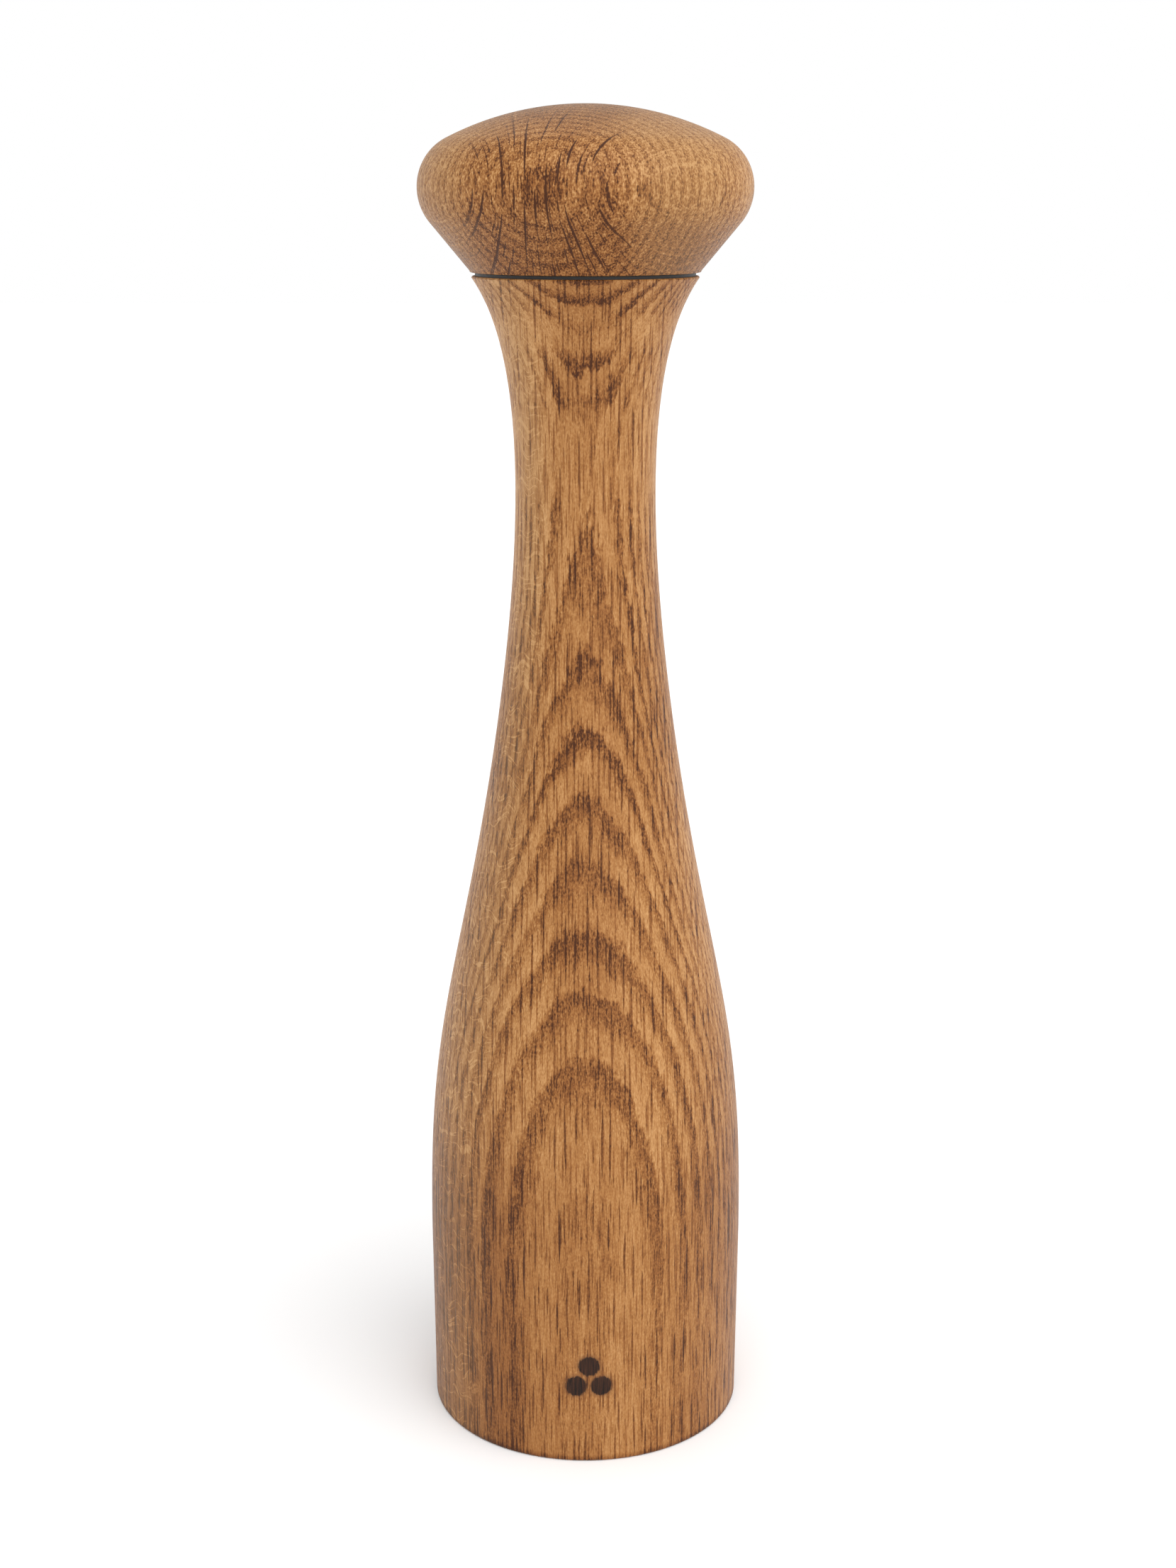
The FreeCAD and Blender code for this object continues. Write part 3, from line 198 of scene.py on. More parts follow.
class Graph:
    """Builds a material's node tree with short calls."""

    def __init__(self, name):
        self.material = bpy.data.materials.new(name)
        self.material.use_nodes = True
        self.tree = self.material.node_tree
        self.shader = next(n for n in self.tree.nodes if n.type == "BSDF_PRINCIPLED")

    def node(self, kind, **settings):
        made = self.tree.nodes.new(kind)
        for key, value in settings.items():
            setattr(made, key, value)
        return made

    def feed(self, socket, value):
        if isinstance(value, bpy.types.NodeSocket):
            self.tree.links.new(value, socket)
        else:
            socket.default_value = value

    def math(self, operation, *values, clamp=False):
        made = self.node("ShaderNodeMath", operation=operation, use_clamp=clamp)
        for socket, value in zip(made.inputs, values):
            self.feed(socket, value)
        return made.outputs[0]

    def add(self, first, *others):
        for other in others:
            first = self.math("ADD", first, other)
        return first

    def less(self, first, second):
        return self.math("SUBTRACT", first, second)

    def times(self, first, *others):
        for other in others:
            first = self.math("MULTIPLY", first, other)
        return first

    def scaled(self, value, factor, added):
        """value times factor, plus added."""
        return self.math("MULTIPLY_ADD", value, factor, added)

    def vector(self, operation, *values):
        made = self.node("ShaderNodeVectorMath", operation=operation)
        for socket, value in zip(made.inputs, values):
            self.feed(socket, value)
        return made.outputs["Value" if operation in ("LENGTH", "DOT_PRODUCT") else "Vector"]

    def split(self, vector):
        made = self.node("ShaderNodeSeparateXYZ")
        self.feed(made.inputs[0], vector)
        return made.outputs

    def join(self, x, y, z):
        made = self.node("ShaderNodeCombineXYZ")
        for socket, value in zip(made.inputs, (x, y, z)):
            self.feed(socket, value)
        return made.outputs[0]

    def noise(self, vector, size, detail=0.0, roughness=0.5, seed=0.0, distortion=0.0):
        """Noise from 0 to 1 whose blobs are about size across, in the vector's units."""
        made = self.node("ShaderNodeTexNoise", noise_dimensions="4D", normalize=True)
        size = size if isinstance(size, tuple) else (size,) * 3
        self.feed(made.inputs["Vector"], self.vector("DIVIDE", vector, size))
        self.feed(made.inputs["W"], seed)
        self.feed(made.inputs["Scale"], 1.0)
        self.feed(made.inputs["Detail"], detail)
        self.feed(made.inputs["Roughness"], roughness)
        self.feed(made.inputs["Distortion"], distortion)
        return made.outputs[0]

    def swing(self, vector, size, reach, **settings):
        """Noise turned into a shift of about -reach to +reach."""
        noise = self.noise(vector, size, **settings)
        return self.times(self.less(noise, 0.5), 3.0 * reach)

    def ramp(self, value, low, high, first=0.0, last=1.0, smooth=True):
        """Takes value from low..high to first..last, held at the ends."""
        made = self.node("ShaderNodeMapRange", interpolation_type="SMOOTHSTEP" if smooth else "LINEAR")
        sockets = [made.inputs[key] for key in ("Value", "From Min", "From Max", "To Min", "To Max")]
        for socket, number in zip(sockets, (value, low, high, first, last)):
            self.feed(socket, number)
        return made.outputs[0]

    def mix(self, share, first, second, blend="MIX"):
        """Mixes two colours."""
        made = self.node("ShaderNodeMix", data_type="RGBA", blend_type=blend)
        self.feed(made.inputs[0], share)
        self.feed(made.inputs[6], first)
        self.feed(made.inputs[7], second)
        return made.outputs[2]

    def place(self):
        """The point in the part's own frame, in millimetres."""
        coordinates = self.node("ShaderNodeTexCoord")
        return self.vector("MULTIPLY", coordinates.outputs["Object"], (1 / MM,) * 3)

    def faces(self, direction):
        """How squarely the surface faces a direction, from 0 to 1."""
        normal = self.node("ShaderNodeTexCoord").outputs["Normal"]
        cosine = self.vector("DOT_PRODUCT", normal, self.vector("NORMALIZE", direction))
        return self.math("ABSOLUTE", cosine)

    def surface(self, colour, roughness):
        self.feed(self.shader.inputs["Base Color"], colour)
        self.feed(self.shader.inputs["Roughness"], roughness)

    def bump(self, height, depth, strength):
        """Adds relief to the shader: height 1 stands depth millimetres above height 0."""
        made = self.node("ShaderNodeBump")
        made.inputs["Strength"].default_value = strength
        made.inputs["Distance"].default_value = depth * MM
        self.feed(made.inputs["Height"], height)
        self.tree.links.new(made.outputs[0], self.shader.inputs["Normal"])


def srgb(red, green, blue):
    """A colour given as it looks on a screen, 0 to 255, as the shader's linear colour."""
    def linear(value):
        value /= 255
        return value / 12.92 if value <= 0.04045 else ((value + 0.055) / 1.055) ** 2.4

    return (linear(red), linear(green), linear(blue), 1.0)


# ---------------------------------------------------------------- oak

# Oiled oak from its lightest wood to its dark open pores, as it looks on a screen.
OAK_STOPS = [
    (0.0, (222, 176, 130)),
    (0.2, (200, 151, 104)),
    (0.4, (176, 124, 75)),
    (0.6, (152, 99, 54)),
    (0.8, (120, 73, 34)),
    (1.0, (78, 40, 10)),
]
OAK_TINT = (0.77, 0.712, 0.56, 1.0)
OAK_SHEEN, OAK_ROUGHNESS = 0.22, 0.34
QUARTER_SAWN = srgb(164, 132, 99)
BLACK_CHAR, BROWN_CHAR, SCORCHED = srgb(22, 8, 2), srgb(66, 36, 18), srgb(88, 50, 26)
# Relief: how deep a pore of height 1 is, and how much deeper the cracks and the burnt dots are.
PORE_DEPTH, CRACK_DEPTH, RELIEF_STRENGTH = 0.09, 1.6, 0.6

# Sizes of the textures, two across the grain and one along it, and what each adds to the depth of colour.
FINE, FINE_SHARE = (0.22, 0.22, 6.0), 0.20
STREAK, STREAK_SHARE = (1.1, 1.1, 40.0), 0.15
PATCH, PATCH_SHARE = (13.0, 13.0, 45.0), 0.10
DASH, PORE_SHARE = (0.25, 0.25, 2.3), 0.20
SPECK, SPECK_SHARE = (0.28, 0.28, 0.7), -0.20
GRAIN = (0.34, 0.34, 0.6)
CRACK_BEND, CRACK_BEND_REACH = (6.0, 6.0, 14.0), 0.2
# The same for the ray flecks, across, along and up the rays. The silver is thin pale lines between them.
FLECK, FLECK_BOW, FLECK_BOW_REACH = (1.5, 5.0, 0.6), (3.0, 4.0, 9.0), 2.5
SILVER_SPACING, SILVER_LENGTH, SILVER_WIDTH, SILVER_SHARE = 1.6, 19.0, 0.22, -0.18

# Waves of the rings, and cracks along the rays. A seed offset gives each its own pattern.
Wave = namedtuple("Wave", "size reach offset")
Crack = namedtuple("Crack", "spacing length width share offset")
# A piece of oak. pith and ray_centre are (x, y): the rings go round the first, the pale flecks spread from
# the second. ray_reach is the distance from the pith at which the cracks have their stated spacing.
# base is the depth of colour that bands, side_bands (bands where the ring is cut on edge, as a share of
# bands), grain (least_grain of it outside the bands) and flecks are added to.
Oak = namedtuple(
    "Oak", "seed pith ray_centre ray_reach waves cracks base bands side_bands grain least_grain flecks"
)

BODY_OAK = Oak(
    seed=2.0,
    pith=(0.5, 170.0),
    ray_centre=(-99.0, 112.0),
    ray_reach=200.0,
    waves=[
        Wave((45.0, 45.0, 140.0), 0.35, 0.0),
        Wave((7.0, 7.0, 25.0), 0.45, 3.0),
        Wave((0.8, 0.8, 2.5), 0.42, 7.0),
    ],
    cracks=[Crack(1.1, 13.0, 0.24, 0.36, 16.0), Crack(2.3, 19.0, 0.32, 0.50, 23.0)],
    base=0.37,
    bands=0.38,
    side_bands=0.55,
    grain=0.36,
    least_grain=0.4,
    flecks=0.34,
)
HEAD_OAK = Oak(
    seed=5.0,
    pith=(-12.0, -48.5),
    ray_centre=(-12.0, -48.5),
    ray_reach=22.0,
    waves=[
        Wave((30.0, 30.0, 40.0), 0.3, 0.0),
        Wave((6.0, 6.0, 12.0), 0.35, 3.0),
        Wave((0.8, 0.8, 1.2), 0.35, 7.0),
    ],
    cracks=[Crack(1.4, 7.0, 0.18, 0.42, 16.0), Crack(2.5, 15.0, 0.28, 0.90, 25.0)],
    base=0.38,
    bands=0.20,
    side_bands=1.5,
    grain=0.60,
    least_grain=0.85,
    flecks=0.16,
)

# Distance from the pith to the first ring's edge: the body's rings are counted out and in from there.
BODY_FIRST_RING = BODY_OAK.pith[1] + 14.2
OUTER_RING_WIDTH = 1.6
# Inside it, depth * RING_GROWTH = (ring number + RING_START)**2 - RING_START**2.
RING_GROWTH, RING_START = 10.0, 8.0
HEAD_FIRST_RING, HEAD_RING_WIDTH = 16.35, 2.15
# Heights between which the body's bands fade: full, faint, still faint, full.
CALM_HEIGHTS = [(201.0, 207.0, 219.0, 224.0), (232.0, 234.5, 239.0, 241.0)]
CALM_STRENGTH = 0.25
# Darker (+) and paler (-) patches of the body: x from none to all, then z from, z to and the change at each.
BODY_PATCHES = [
    ((-8.0, -20.0), (40.0, 90.0, 0.2, 0.0)),
    ((14.0, 26.0), (60.0, 120.0, 0.06, 0.0)),
    ((0.0, -12.0), (150.0, 195.0, 0.0, -0.20)),
    ((6.0, 14.0), (170.0, 200.0, 0.0, -0.14)),
]
# Three burnt peppercorns on the front of the base, as (x, z, radius).
PEPPERCORNS = [(-1.95, 18.0, 2.3), (3.35, 18.1, 2.25), (0.75, 22.7, 2.3)]
FAR_AWAY = 100.0


def oak_colour(graph, depth):
    """Colour for a depth from 0, pale, to 1, dark."""
    ramp = graph.node("ShaderNodeValToRGB")
    stops = ramp.color_ramp.elements
    while len(stops) < len(OAK_STOPS):
        stops.new(0.5)
    for stop, (place, colour) in zip(stops, OAK_STOPS):
        stop.position = place
        stop.color = srgb(*colour)
    graph.feed(ramp.inputs[0], depth)
    return ramp.outputs[0]


def oak_layers(graph, point, wood):
    """Distance from the pith with the waviness of growth, and how squarely the surface faces the pith."""
    flat = graph.vector("SUBTRACT", point, (*wood.pith, 0.0))
    flat = graph.vector("MULTIPLY", flat, (1.0, 1.0, 0.0))
    distance = graph.vector("LENGTH", flat)
    for wave in wood.waves:
        shift = graph.swing(point, wave.size, wave.reach, detail=1.0, seed=wood.seed + wave.offset)
        distance = graph.add(distance, shift)
    return distance, graph.faces(flat)


def ring_bands(graph, count, seed):
    """The porous dark band that starts each ring, from 0 to 1, sharper on its inner side."""
    whole = graph.math("FLOOR", count)
    share = graph.less(count, whole)
    chance = graph.node("ShaderNodeTexWhiteNoise", noise_dimensions="1D")
    graph.feed(chance.inputs["W"], graph.add(whole, seed))
    fade = graph.scaled(chance.outputs["Value"], 0.30, 0.60)
    rise = graph.ramp(share, 0.0, 0.2)
    fall = graph.add(graph.ramp(share, 0.25, fade, 0.88, 0.0), graph.ramp(share, 0.1, 0.4, 0.12, 0.0))
    strength = graph.scaled(chance.outputs["Value"], -0.3, 1.0)
    return graph.times(rise, fall, strength)


def ray_frame(graph, point, centre, reach):
    """Coordinates across, along and up the rays, true at reach from centre, and how squarely they are cut."""
    x, y, z = graph.split(graph.vector("SUBTRACT", point, (*centre, 0.0)))
    flat = graph.join(x, y, 0.0)
    across = graph.times(graph.math("ARCTAN2", y, x), reach)
    return graph.join(across, graph.vector("LENGTH", flat), z), graph.faces(flat)


def chances(graph, first, second, seed):
    """Three random numbers for a pair of whole numbers."""
    made = graph.node("ShaderNodeTexWhiteNoise", noise_dimensions="3D")
    graph.feed(made.inputs["Vector"], graph.join(first, second, seed))
    return graph.split(made.outputs["Color"])


def hairlines(graph, rays, reach, spacing, length, width, seed):
    """Thin upright lines that taper at both ends: about one in every spacing across and length up."""
    across, away, height = graph.split(rays)
    column = graph.math("DIVIDE", across, spacing)
    column_index = graph.math("FLOOR", column)
    shift = chances(graph, column_index, 0.5, seed)[0]
    row = graph.add(graph.math("DIVIDE", height, length), graph.times(shift, 7.0))
    row_index = graph.math("FLOOR", row)
    place, stretch, weight = chances(graph, column_index, row_index, seed + 0.5)
    centre = graph.scaled(place, 0.7, 0.15)
    off = graph.math("ABSOLUTE", graph.less(graph.less(column, column_index), centre))
    off = graph.times(off, spacing / reach, away)
    half = graph.scaled(stretch, 0.30, 0.18)
    along = graph.math("DIVIDE", graph.less(graph.less(row, row_index), 0.5), half)
    taper = graph.math("SUBTRACT", 1.0, graph.times(along, along), clamp=True)
    inside = graph.math("DIVIDE", off, graph.scaled(taper, width, 0.001))
    line = graph.math("SUBTRACT", 1.0, inside, clamp=True)
    line = graph.ramp(graph.times(line, graph.ramp(taper, 0.0, 0.3)), 0.0, 0.6)
    return graph.times(line, graph.scaled(weight, 0.5, 0.5))


def oak_cracks(graph, point, wood):
    """Dark hairline cracks and rows of open pores along the rays, from 0 to 1."""
    rays, facing = ray_frame(graph, point, wood.pith, wood.ray_reach)
    bend = graph.swing(point, CRACK_BEND, CRACK_BEND_REACH, detail=1.0, seed=wood.seed + 20)
    rays = graph.vector("ADD", rays, graph.join(bend, 0.0, 0.0))
    cracked = 0.0
    for crack in wood.cracks:
        seed = wood.seed + crack.offset
        line = hairlines(graph, rays, wood.ray_reach, crack.spacing, crack.length, crack.width, seed)
        cracked = graph.math("MAXIMUM", cracked, graph.times(line, crack.share))
    return graph.times(cracked, graph.ramp(facing, 0.1, 0.5))


def oak_flecks(graph, point, wood):
    """Pale ray flecks, silver lines between them, and how far the surface is cut along the rays."""
    reach = math.hypot(*wood.ray_centre)
    rays, facing = ray_frame(graph, point, wood.ray_centre, reach)
    bow = graph.swing(rays, FLECK_BOW, FLECK_BOW_REACH, seed=wood.seed + 17)
    bowed = graph.vector("ADD", rays, graph.join(0.0, 0.0, bow))
    fleck = graph.noise(bowed, FLECK, detail=1.0, seed=wood.seed + 18)
    quarter = graph.ramp(facing, 0.1, 0.5, 1.0, 0.0)
    fleck = graph.times(graph.ramp(fleck, 0.57, 0.65), quarter)
    silver = hairlines(graph, rays, reach, SILVER_SPACING, SILVER_LENGTH, SILVER_WIDTH, wood.seed + 27)
    return fleck, graph.times(silver, quarter), quarter


def burnt_spots(graph, point, spots, seed):
    """Two masks: the charred dots, and the brown scorch round them. Both only on the front."""
    x, y, z = graph.split(point)
    ragged = graph.swing(point, (0.5, 0.5, 1.6), 0.35, detail=2.0, seed=seed + 21)
    nearest = FAR_AWAY
    for spot_x, spot_z, radius in spots:
        away = graph.join(graph.less(x, spot_x), 0.0, graph.less(z, spot_z))
        away = graph.less(graph.vector("LENGTH", away), radius)
        nearest = graph.math("MINIMUM", nearest, away)
    nearest = graph.add(nearest, ragged)
    front = graph.ramp(y, -20.0, -15.0, 1.0, 0.0)
    burnt = graph.times(graph.ramp(nearest, -0.25, 0.2, 1.0, 0.0), front)
    scorch = graph.times(graph.ramp(nearest, 0.0, 1.1, 0.45, 0.0), front)
    return burnt, scorch


def oak(name, wood, ring_number, band_strength, shade, spots=()):
    """Turned, oiled oak. spots are burnt dots as (x, z, radius) on the front."""
    g = Graph(name)
    point = g.place()
    distance, facing = oak_layers(g, point, wood)
    bands = ring_bands(g, ring_number(g, distance), wood.seed)
    bands = g.times(bands, g.ramp(facing, 0.15, 0.8, wood.side_bands, 1.0))
    bands = g.times(bands, band_strength(g, point, distance))

    fine = g.noise(point, FINE, detail=2.0, roughness=0.6, seed=wood.seed + 11)
    streak = g.noise(point, STREAK, detail=2.0, roughness=0.6, seed=wood.seed + 12)
    patch = g.noise(point, PATCH, detail=2.0, seed=wood.seed + 13)
    dash = g.noise(point, DASH, detail=1.0, seed=wood.seed + 14)
    pores = g.ramp(g.scaled(bands, 0.12, dash), 0.58, 0.70)
    speck = g.ramp(g.noise(point, SPECK, seed=wood.seed + 15), 0.58, 0.70)
    speck = g.times(speck, g.scaled(bands, 0.8, 0.2))
    grain = g.swing(point, GRAIN, wood.grain, detail=1.0, seed=wood.seed + 19)
    grain = g.times(grain, g.scaled(bands, 1.0 - wood.least_grain, wood.least_grain))
    cracked = oak_cracks(g, point, wood)
    fleck, silver, quarter = oak_flecks(g, point, wood)

    depth = g.scaled(bands, wood.bands, wood.base)
    for noise, share in ((fine, FINE_SHARE), (streak, STREAK_SHARE), (patch, PATCH_SHARE)):
        depth = g.add(depth, g.times(g.less(noise, 0.5), 3.0 * share))
    depth = g.add(depth, grain)
    for mask, share in ((pores, PORE_SHARE), (speck, SPECK_SHARE), (silver, SILVER_SHARE)):
        depth = g.scaled(mask, share, depth)
    # shade adds each piece's darker and paler patches, painted shade and a painted highlight among them.
    depth = g.add(depth, shade(g, point, distance), cracked)
    depth = g.math("MULTIPLY_ADD", fleck, -wood.flecks, depth, clamp=True)
    colour = g.mix(g.times(quarter, 0.25), oak_colour(g, depth), QUARTER_SAWN)
    colour = g.mix(1.0, colour, OAK_TINT, blend="MULTIPLY")
    relief = g.add(g.times(pores, -1.0), g.times(cracked, -CRACK_DEPTH))
    relief = g.scaled(fine, 0.5, relief)
    if spots:
        burnt, scorch = burnt_spots(g, point, spots, wood.seed)
        char = g.mix(g.ramp(fine, 0.35, 0.7), BLACK_CHAR, BROWN_CHAR)
        colour = g.mix(burnt, g.mix(scorch, colour, SCORCHED), char)
        relief = g.scaled(burnt, -CRACK_DEPTH, relief)
    g.surface(colour, g.scaled(pores, 0.15, g.scaled(fine, 0.16, OAK_ROUGHNESS)))
    g.shader.inputs["Specular IOR Level"].default_value = OAK_SHEEN
    g.bump(relief, PORE_DEPTH, RELIEF_STRENGTH)
    return g.material


def body_rings(graph, distance):
    """Ring number in the body: narrow rings outside the first, wider and wider within."""
    depth = graph.less(distance, BODY_FIRST_RING)
    outer = graph.times(graph.math("MINIMUM", depth, 0.0), 1 / OUTER_RING_WIDTH)
    inner = graph.scaled(graph.math("MAXIMUM", depth, 0.0), RING_GROWTH, RING_START**2)
    return graph.add(outer, graph.less(graph.math("SQRT", inner), RING_START))


def body_band_strength(graph, point, distance):
    """Bands are faint in the belly's middle, at the foot and round the neck, bold at the V in the neck."""
    x, y, z = graph.split(point)
    belly = graph.ramp(distance, BODY_OAK.pith[1] + 32.4, BODY_OAK.pith[1] + 33.6, 1.0, 0.35)
    shown = graph.times(belly, graph.ramp(z, 20.0, 75.0, 0.5, 1.0))
    for start, gone, back, full in CALM_HEIGHTS:
        window = graph.add(graph.ramp(z, start, gone, 1.0, 0.0), graph.ramp(z, back, full))
        shown = graph.times(shown, graph.scaled(window, 1.0 - CALM_STRENGTH, CALM_STRENGTH))
    middle = graph.ramp(graph.math("ABSOLUTE", x), 6.0, 10.0, 0.45, -0.35)
    bold = graph.add(graph.ramp(z, 220.0, 224.0), graph.ramp(z, 231.0, 234.0, 0.0, -1.0))
    bold = graph.scaled(bold, middle, graph.ramp(z, 238.0, 241.0, 1.0, 1.15))
    return graph.times(shown, bold)


def body_shade(graph, point, distance):
    """Darker just under the seam, painted contact shadow along the bottom of the foot, paler beside the
    belly's middle, and the patches.
    """
    x, y, z = graph.split(point)
    # The second ramp is painted contact shadow: the lowest 1.8 mm of the foot are darkened towards the floor.
    shade = graph.add(graph.ramp(z, 236.0, 245.0, 0.0, 0.10), graph.ramp(z, 0.3, 1.8, 0.3, 0.0))
    for sideways, upwards in BODY_PATCHES:
        shade = graph.add(shade, graph.times(graph.ramp(x, *sideways), graph.ramp(z, *upwards)))
    belly = graph.add(graph.ramp(z, 50.0, 80.0, 0.0, -0.13), graph.ramp(z, 130.0, 150.0, 0.0, 0.10))
    return graph.add(shade, graph.times(belly, graph.ramp(graph.math("ABSOLUTE", x), 4.0, 10.0)))


def head_rings(graph, distance):
    """Ring number in the head, evenly spaced."""
    return graph.math("DIVIDE", graph.less(distance, HEAD_FIRST_RING), HEAD_RING_WIDTH)


def head_band_strength(graph, point, distance):
    """Bands grow fainter away from the eye on the front."""
    return graph.ramp(distance, HEAD_FIRST_RING, HEAD_FIRST_RING + 20.0, 1.0, 0.7)


def head_shade(graph, point, distance):
    """The dark eye on the front, painted shade towards the seam and on the crown, and paler sides, on the
    right partly a painted highlight.
    """
    x, y, z = graph.split(point)
    eye = graph.ramp(distance, HEAD_FIRST_RING + 0.1, HEAD_FIRST_RING + 0.9, 0.22, 0.0)
    # Paler on both sides above z 252; on the right this is partly a painted highlight.
    sides = graph.add(graph.ramp(x, 2.0, 16.0, 0.0, 1.3), graph.ramp(x, -16.0, -28.0, 0.0, 1.1))
    pale = graph.times(sides, graph.ramp(z, 252.0, 262.0, 0.0, -0.13))
    # Painted shade: darker towards the seam under the flare, and darker on the crown.
    ends = graph.add(graph.ramp(z, 249.0, 268.0, 0.22, 0.0), graph.ramp(z, 273.0, 282.0, 0.0, 0.28))
    return graph.add(eye, pale, ends)


# ---------------------------------------------------------------- plastics, ceramic and steel

SPARK_DEPTH, SPARK_STRENGTH = 0.03, 0.5
PIT_DEPTH, PIT_STRENGTH = 0.05, 0.7
DRAWN_DEPTH, DRAWN_STRENGTH = 0.01, 0.4
CERAMIC_WHITE, CERAMIC_WORN, CERAMIC_PIT = srgb(226, 220, 207), srgb(190, 181, 165), srgb(128, 112, 92)
ZINC_CLOUD = srgb(196, 184, 150)
DRAWN_DARKER = 0.82


def moulded(name, colour, roughness, grain):
    """Moulded plastic with a fine spark texture and faint flow marks."""
    g = Graph(name)
    point = g.place()
    spark = g.noise(point, grain, detail=2.0, seed=31.0)
    flow = g.noise(point, (9.0, 9.0, 3.0), detail=3.0, seed=32.0, distortion=0.6)
    shade = g.ramp(flow, 0.3, 0.7, 0.82, 1.12, smooth=False)
    tint = g.node("ShaderNodeCombineColor")
    for socket in tint.inputs[:3]:
        g.feed(socket, shade)
    colour = g.mix(1.0, srgb(*colour), tint.outputs[0], blend="MULTIPLY")
    g.surface(colour, g.ramp(spark, 0.3, 0.7, roughness - 0.07, roughness + 0.07))
    g.bump(spark, SPARK_DEPTH, SPARK_STRENGTH)
    return g.material


def ceramic(name):
    """Sintered ceramic: off-white, fine pits, and faint grey wear where pepper rubs it."""
    g = Graph(name)
    point = g.place()
    pits = g.ramp(g.noise(point, 0.35, detail=1.0, seed=41.0), 0.60, 0.70)
    wear = g.noise(point, (3.0, 3.0, 5.0), detail=3.0, seed=42.0)
    colour = g.mix(g.ramp(wear, 0.42, 0.68), CERAMIC_WHITE, CERAMIC_WORN)
    colour = g.mix(g.times(pits, 0.5), colour, CERAMIC_PIT)
    g.surface(colour, g.ramp(wear, 0.3, 0.7, 0.34, 0.52))
    g.bump(g.times(pits, -1.0), PIT_DEPTH, PIT_STRENGTH)
    return g.material


def steel(name, colour, roughness, lines, cloud=0.0):
    """Steel with drawing lines of size lines and, for plating, a cloudy tint."""
    g = Graph(name)
    point = g.place()
    drawn = g.noise(point, lines, detail=2.0, seed=51.0)
    clouds = g.noise(point, 2.5, detail=3.0, seed=52.0)
    darker = srgb(*(int(c * DRAWN_DARKER) for c in colour))
    colour = g.mix(g.ramp(drawn, 0.3, 0.7), srgb(*colour), darker)
    colour = g.mix(g.times(g.ramp(clouds, 0.4, 0.7), cloud), colour, ZINC_CLOUD)
    g.surface(colour, g.ramp(drawn, 0.3, 0.7, roughness - 0.06, roughness + 0.08))
    g.shader.inputs["Metallic"].default_value = 1.0
    g.bump(drawn, DRAWN_DEPTH, DRAWN_STRENGTH)
    return g.material


# The material of each slot in the record.
FINISHES = {
    "oak_body": oak("oak_body_wood", BODY_OAK, body_rings, body_band_strength, body_shade, PEPPERCORNS),
    "oak_head": oak("oak_head_wood", HEAD_OAK, head_rings, head_band_strength, head_shade),
    "black_plastic": moulded("black_plastic_moulded", (26, 24, 23), 0.5, 0.22),
    "adjuster_plastic": moulded("adjuster_plastic_moulded", (44, 43, 44), 0.42, 0.25),
    "carrier_plastic": moulded("carrier_plastic_moulded", (58, 56, 54), 0.5, 0.3),
    "bush_plastic": moulded("bush_plastic_moulded", (206, 200, 186), 0.4, 0.3),
    "ceramic": ceramic("ceramic_sintered"),
    "bright_steel": steel("bright_steel_drawn", (202, 202, 200), 0.26, (0.12, 0.12, 6.0)),
    "spring_steel": steel("spring_steel_drawn", (150, 150, 152), 0.34, (0.3, 0.3, 0.3)),
    "zinc_steel": steel("zinc_steel_plated", (178, 180, 184), 0.38, (0.2, 0.2, 0.2), cloud=0.4),
}

for node in NODES.values():
    for material_slot in node.material_slots:
        material_slot.material = FINISHES[material_slot.material.name.split(".")[0]]

# ---------------------------------------------------------------- turned pieces

oak_body = turned_mesh("oak_body", body_outline())
oak_head = turned_mesh("oak_head", head_outline())
for piece, body, node in ((oak_body, "root", "body_shell"), (oak_head, "head", "head")):
    piece.data.materials.append(FINISHES[piece.name])
    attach(piece, body)
    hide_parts(node)

# ---------------------------------------------------------------- studio

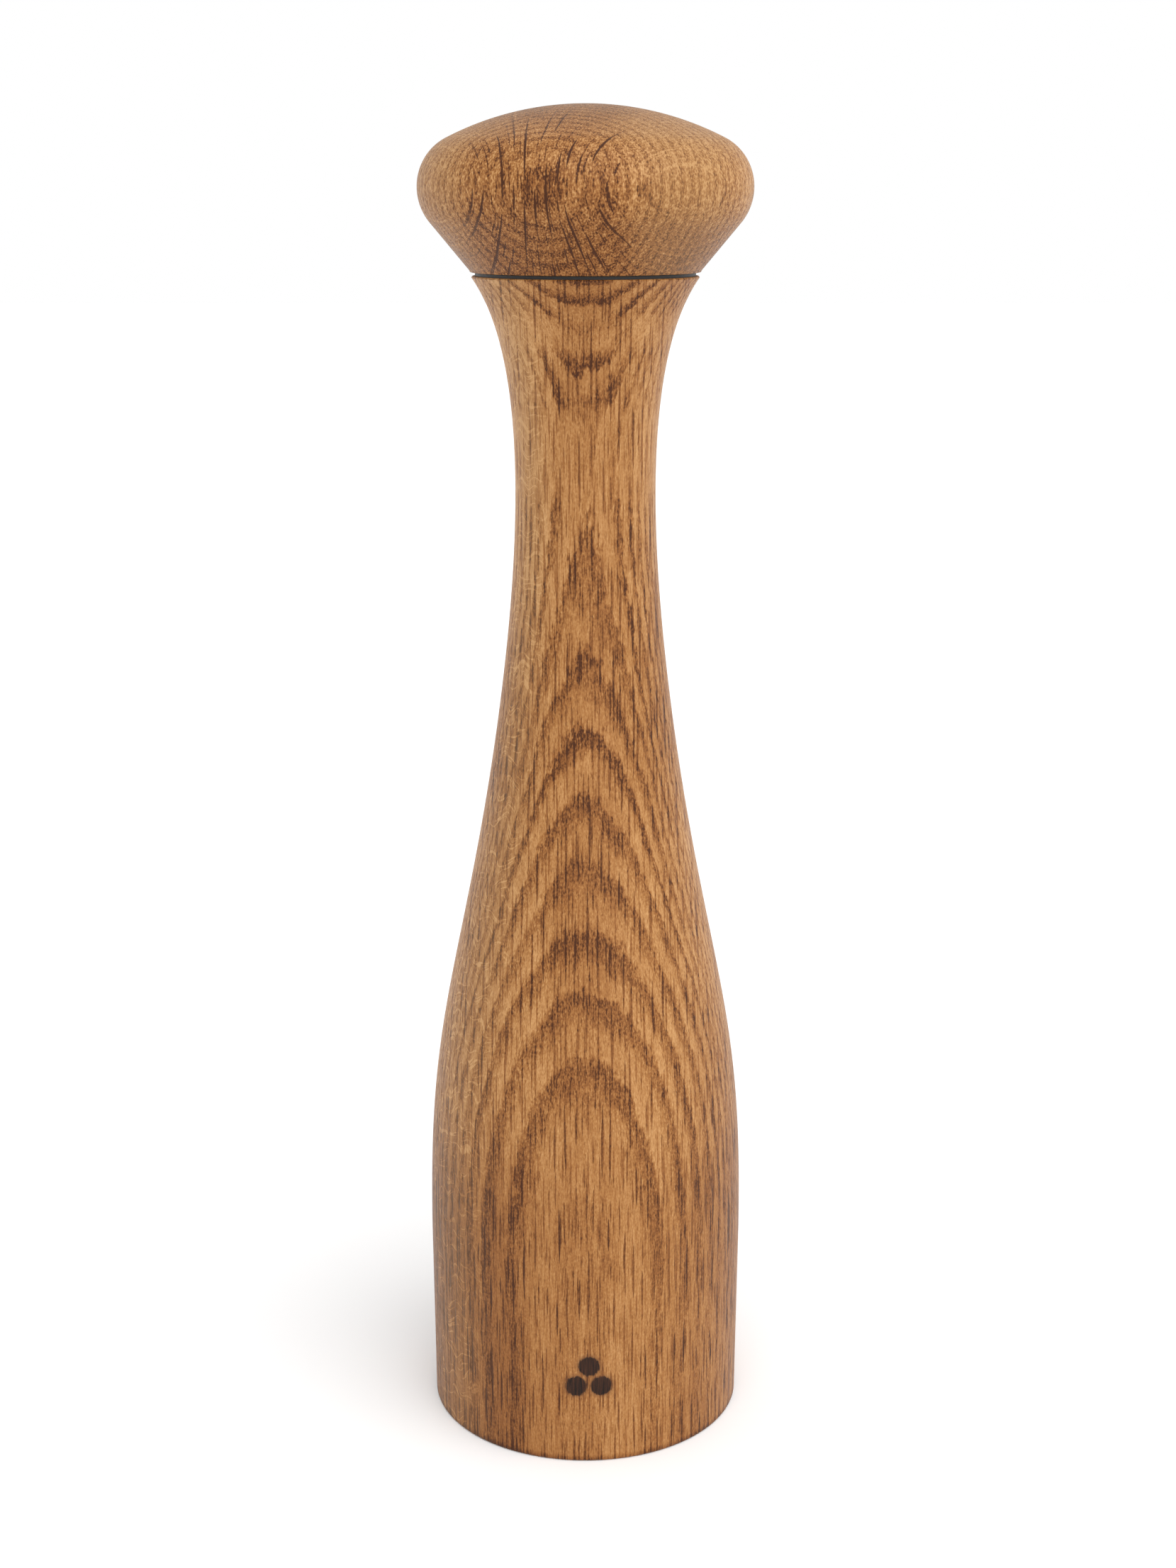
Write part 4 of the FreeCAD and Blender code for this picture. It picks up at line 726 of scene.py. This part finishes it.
FLOOR_HALF = 5.0
KEY_FROM, KEY_STRENGTH, KEY_WIDTH = (0.5, -0.9, 1.1), 1.9, math.radians(78)
CAMERA_PLACE, CAMERA_TILT = (0.0, -0.4616, 0.2637), math.radians(14.855)

scene = bpy.context.scene
scene.view_settings.view_transform = "Standard"

floor_mesh = bmesh.new()
bmesh.ops.create_grid(floor_mesh, x_segments=8, y_segments=8, size=FLOOR_HALF)
floor_data = bpy.data.meshes.new("floor")
floor_mesh.to_mesh(floor_data)
floor_mesh.free()
floor = bpy.data.objects.new("floor", floor_data)
scene.collection.objects.link(floor)
floor_look = Graph("pale_floor")
floor_look.surface((0.97, 0.97, 0.97, 1.0), 0.9)
floor_look.shader.inputs["Specular IOR Level"].default_value = 0.1
floor_data.materials.append(floor_look.material)

# A white room, a little dimmer overhead than at the sides.
world = bpy.data.worlds.new("studio")
world.use_nodes = True
nodes, links = world.node_tree.nodes, world.node_tree.links
side = nodes.new("ShaderNodeSeparateXYZ")
haze = nodes.new("ShaderNodeMapRange")
for key, number in (("From Min", 0.12), ("From Max", 0.4), ("To Min", 1.0), ("To Max", 0.78)):
    haze.inputs[key].default_value = number
links.new(nodes.new("ShaderNodeTexCoord").outputs["Generated"], side.inputs[0])
links.new(side.outputs["Z"], haze.inputs["Value"])
links.new(haze.outputs[0], nodes["Background"].inputs["Strength"])
nodes["Background"].inputs["Color"].default_value = (1.0, 1.0, 1.0, 1.0)
scene.world = world

# One soft distant light from the front right.
sun = bpy.data.lights.new("key", "SUN")
sun.energy = KEY_STRENGTH
sun.angle = KEY_WIDTH
lamp = bpy.data.objects.new("key", sun)
lamp.rotation_euler = Vector(KEY_FROM).to_track_quat("Z", "Y").to_euler()
scene.collection.objects.link(lamp)

# The camera looks slightly down at the front.
camera_data = bpy.data.cameras.new("camera")
camera_data.sensor_width = 36.0
camera_data.lens = 51.507
camera_data.shift_x = 0.0016
camera_data.clip_start = 0.02
camera = bpy.data.objects.new("camera", camera_data)
camera.location = CAMERA_PLACE
camera.rotation_euler = (math.pi / 2 - CAMERA_TILT, 0.0, 0.0)
scene.collection.objects.link(camera)
scene.camera = camera

# ---------------------------------------------------------------- update

bpy.context.view_layer.update()
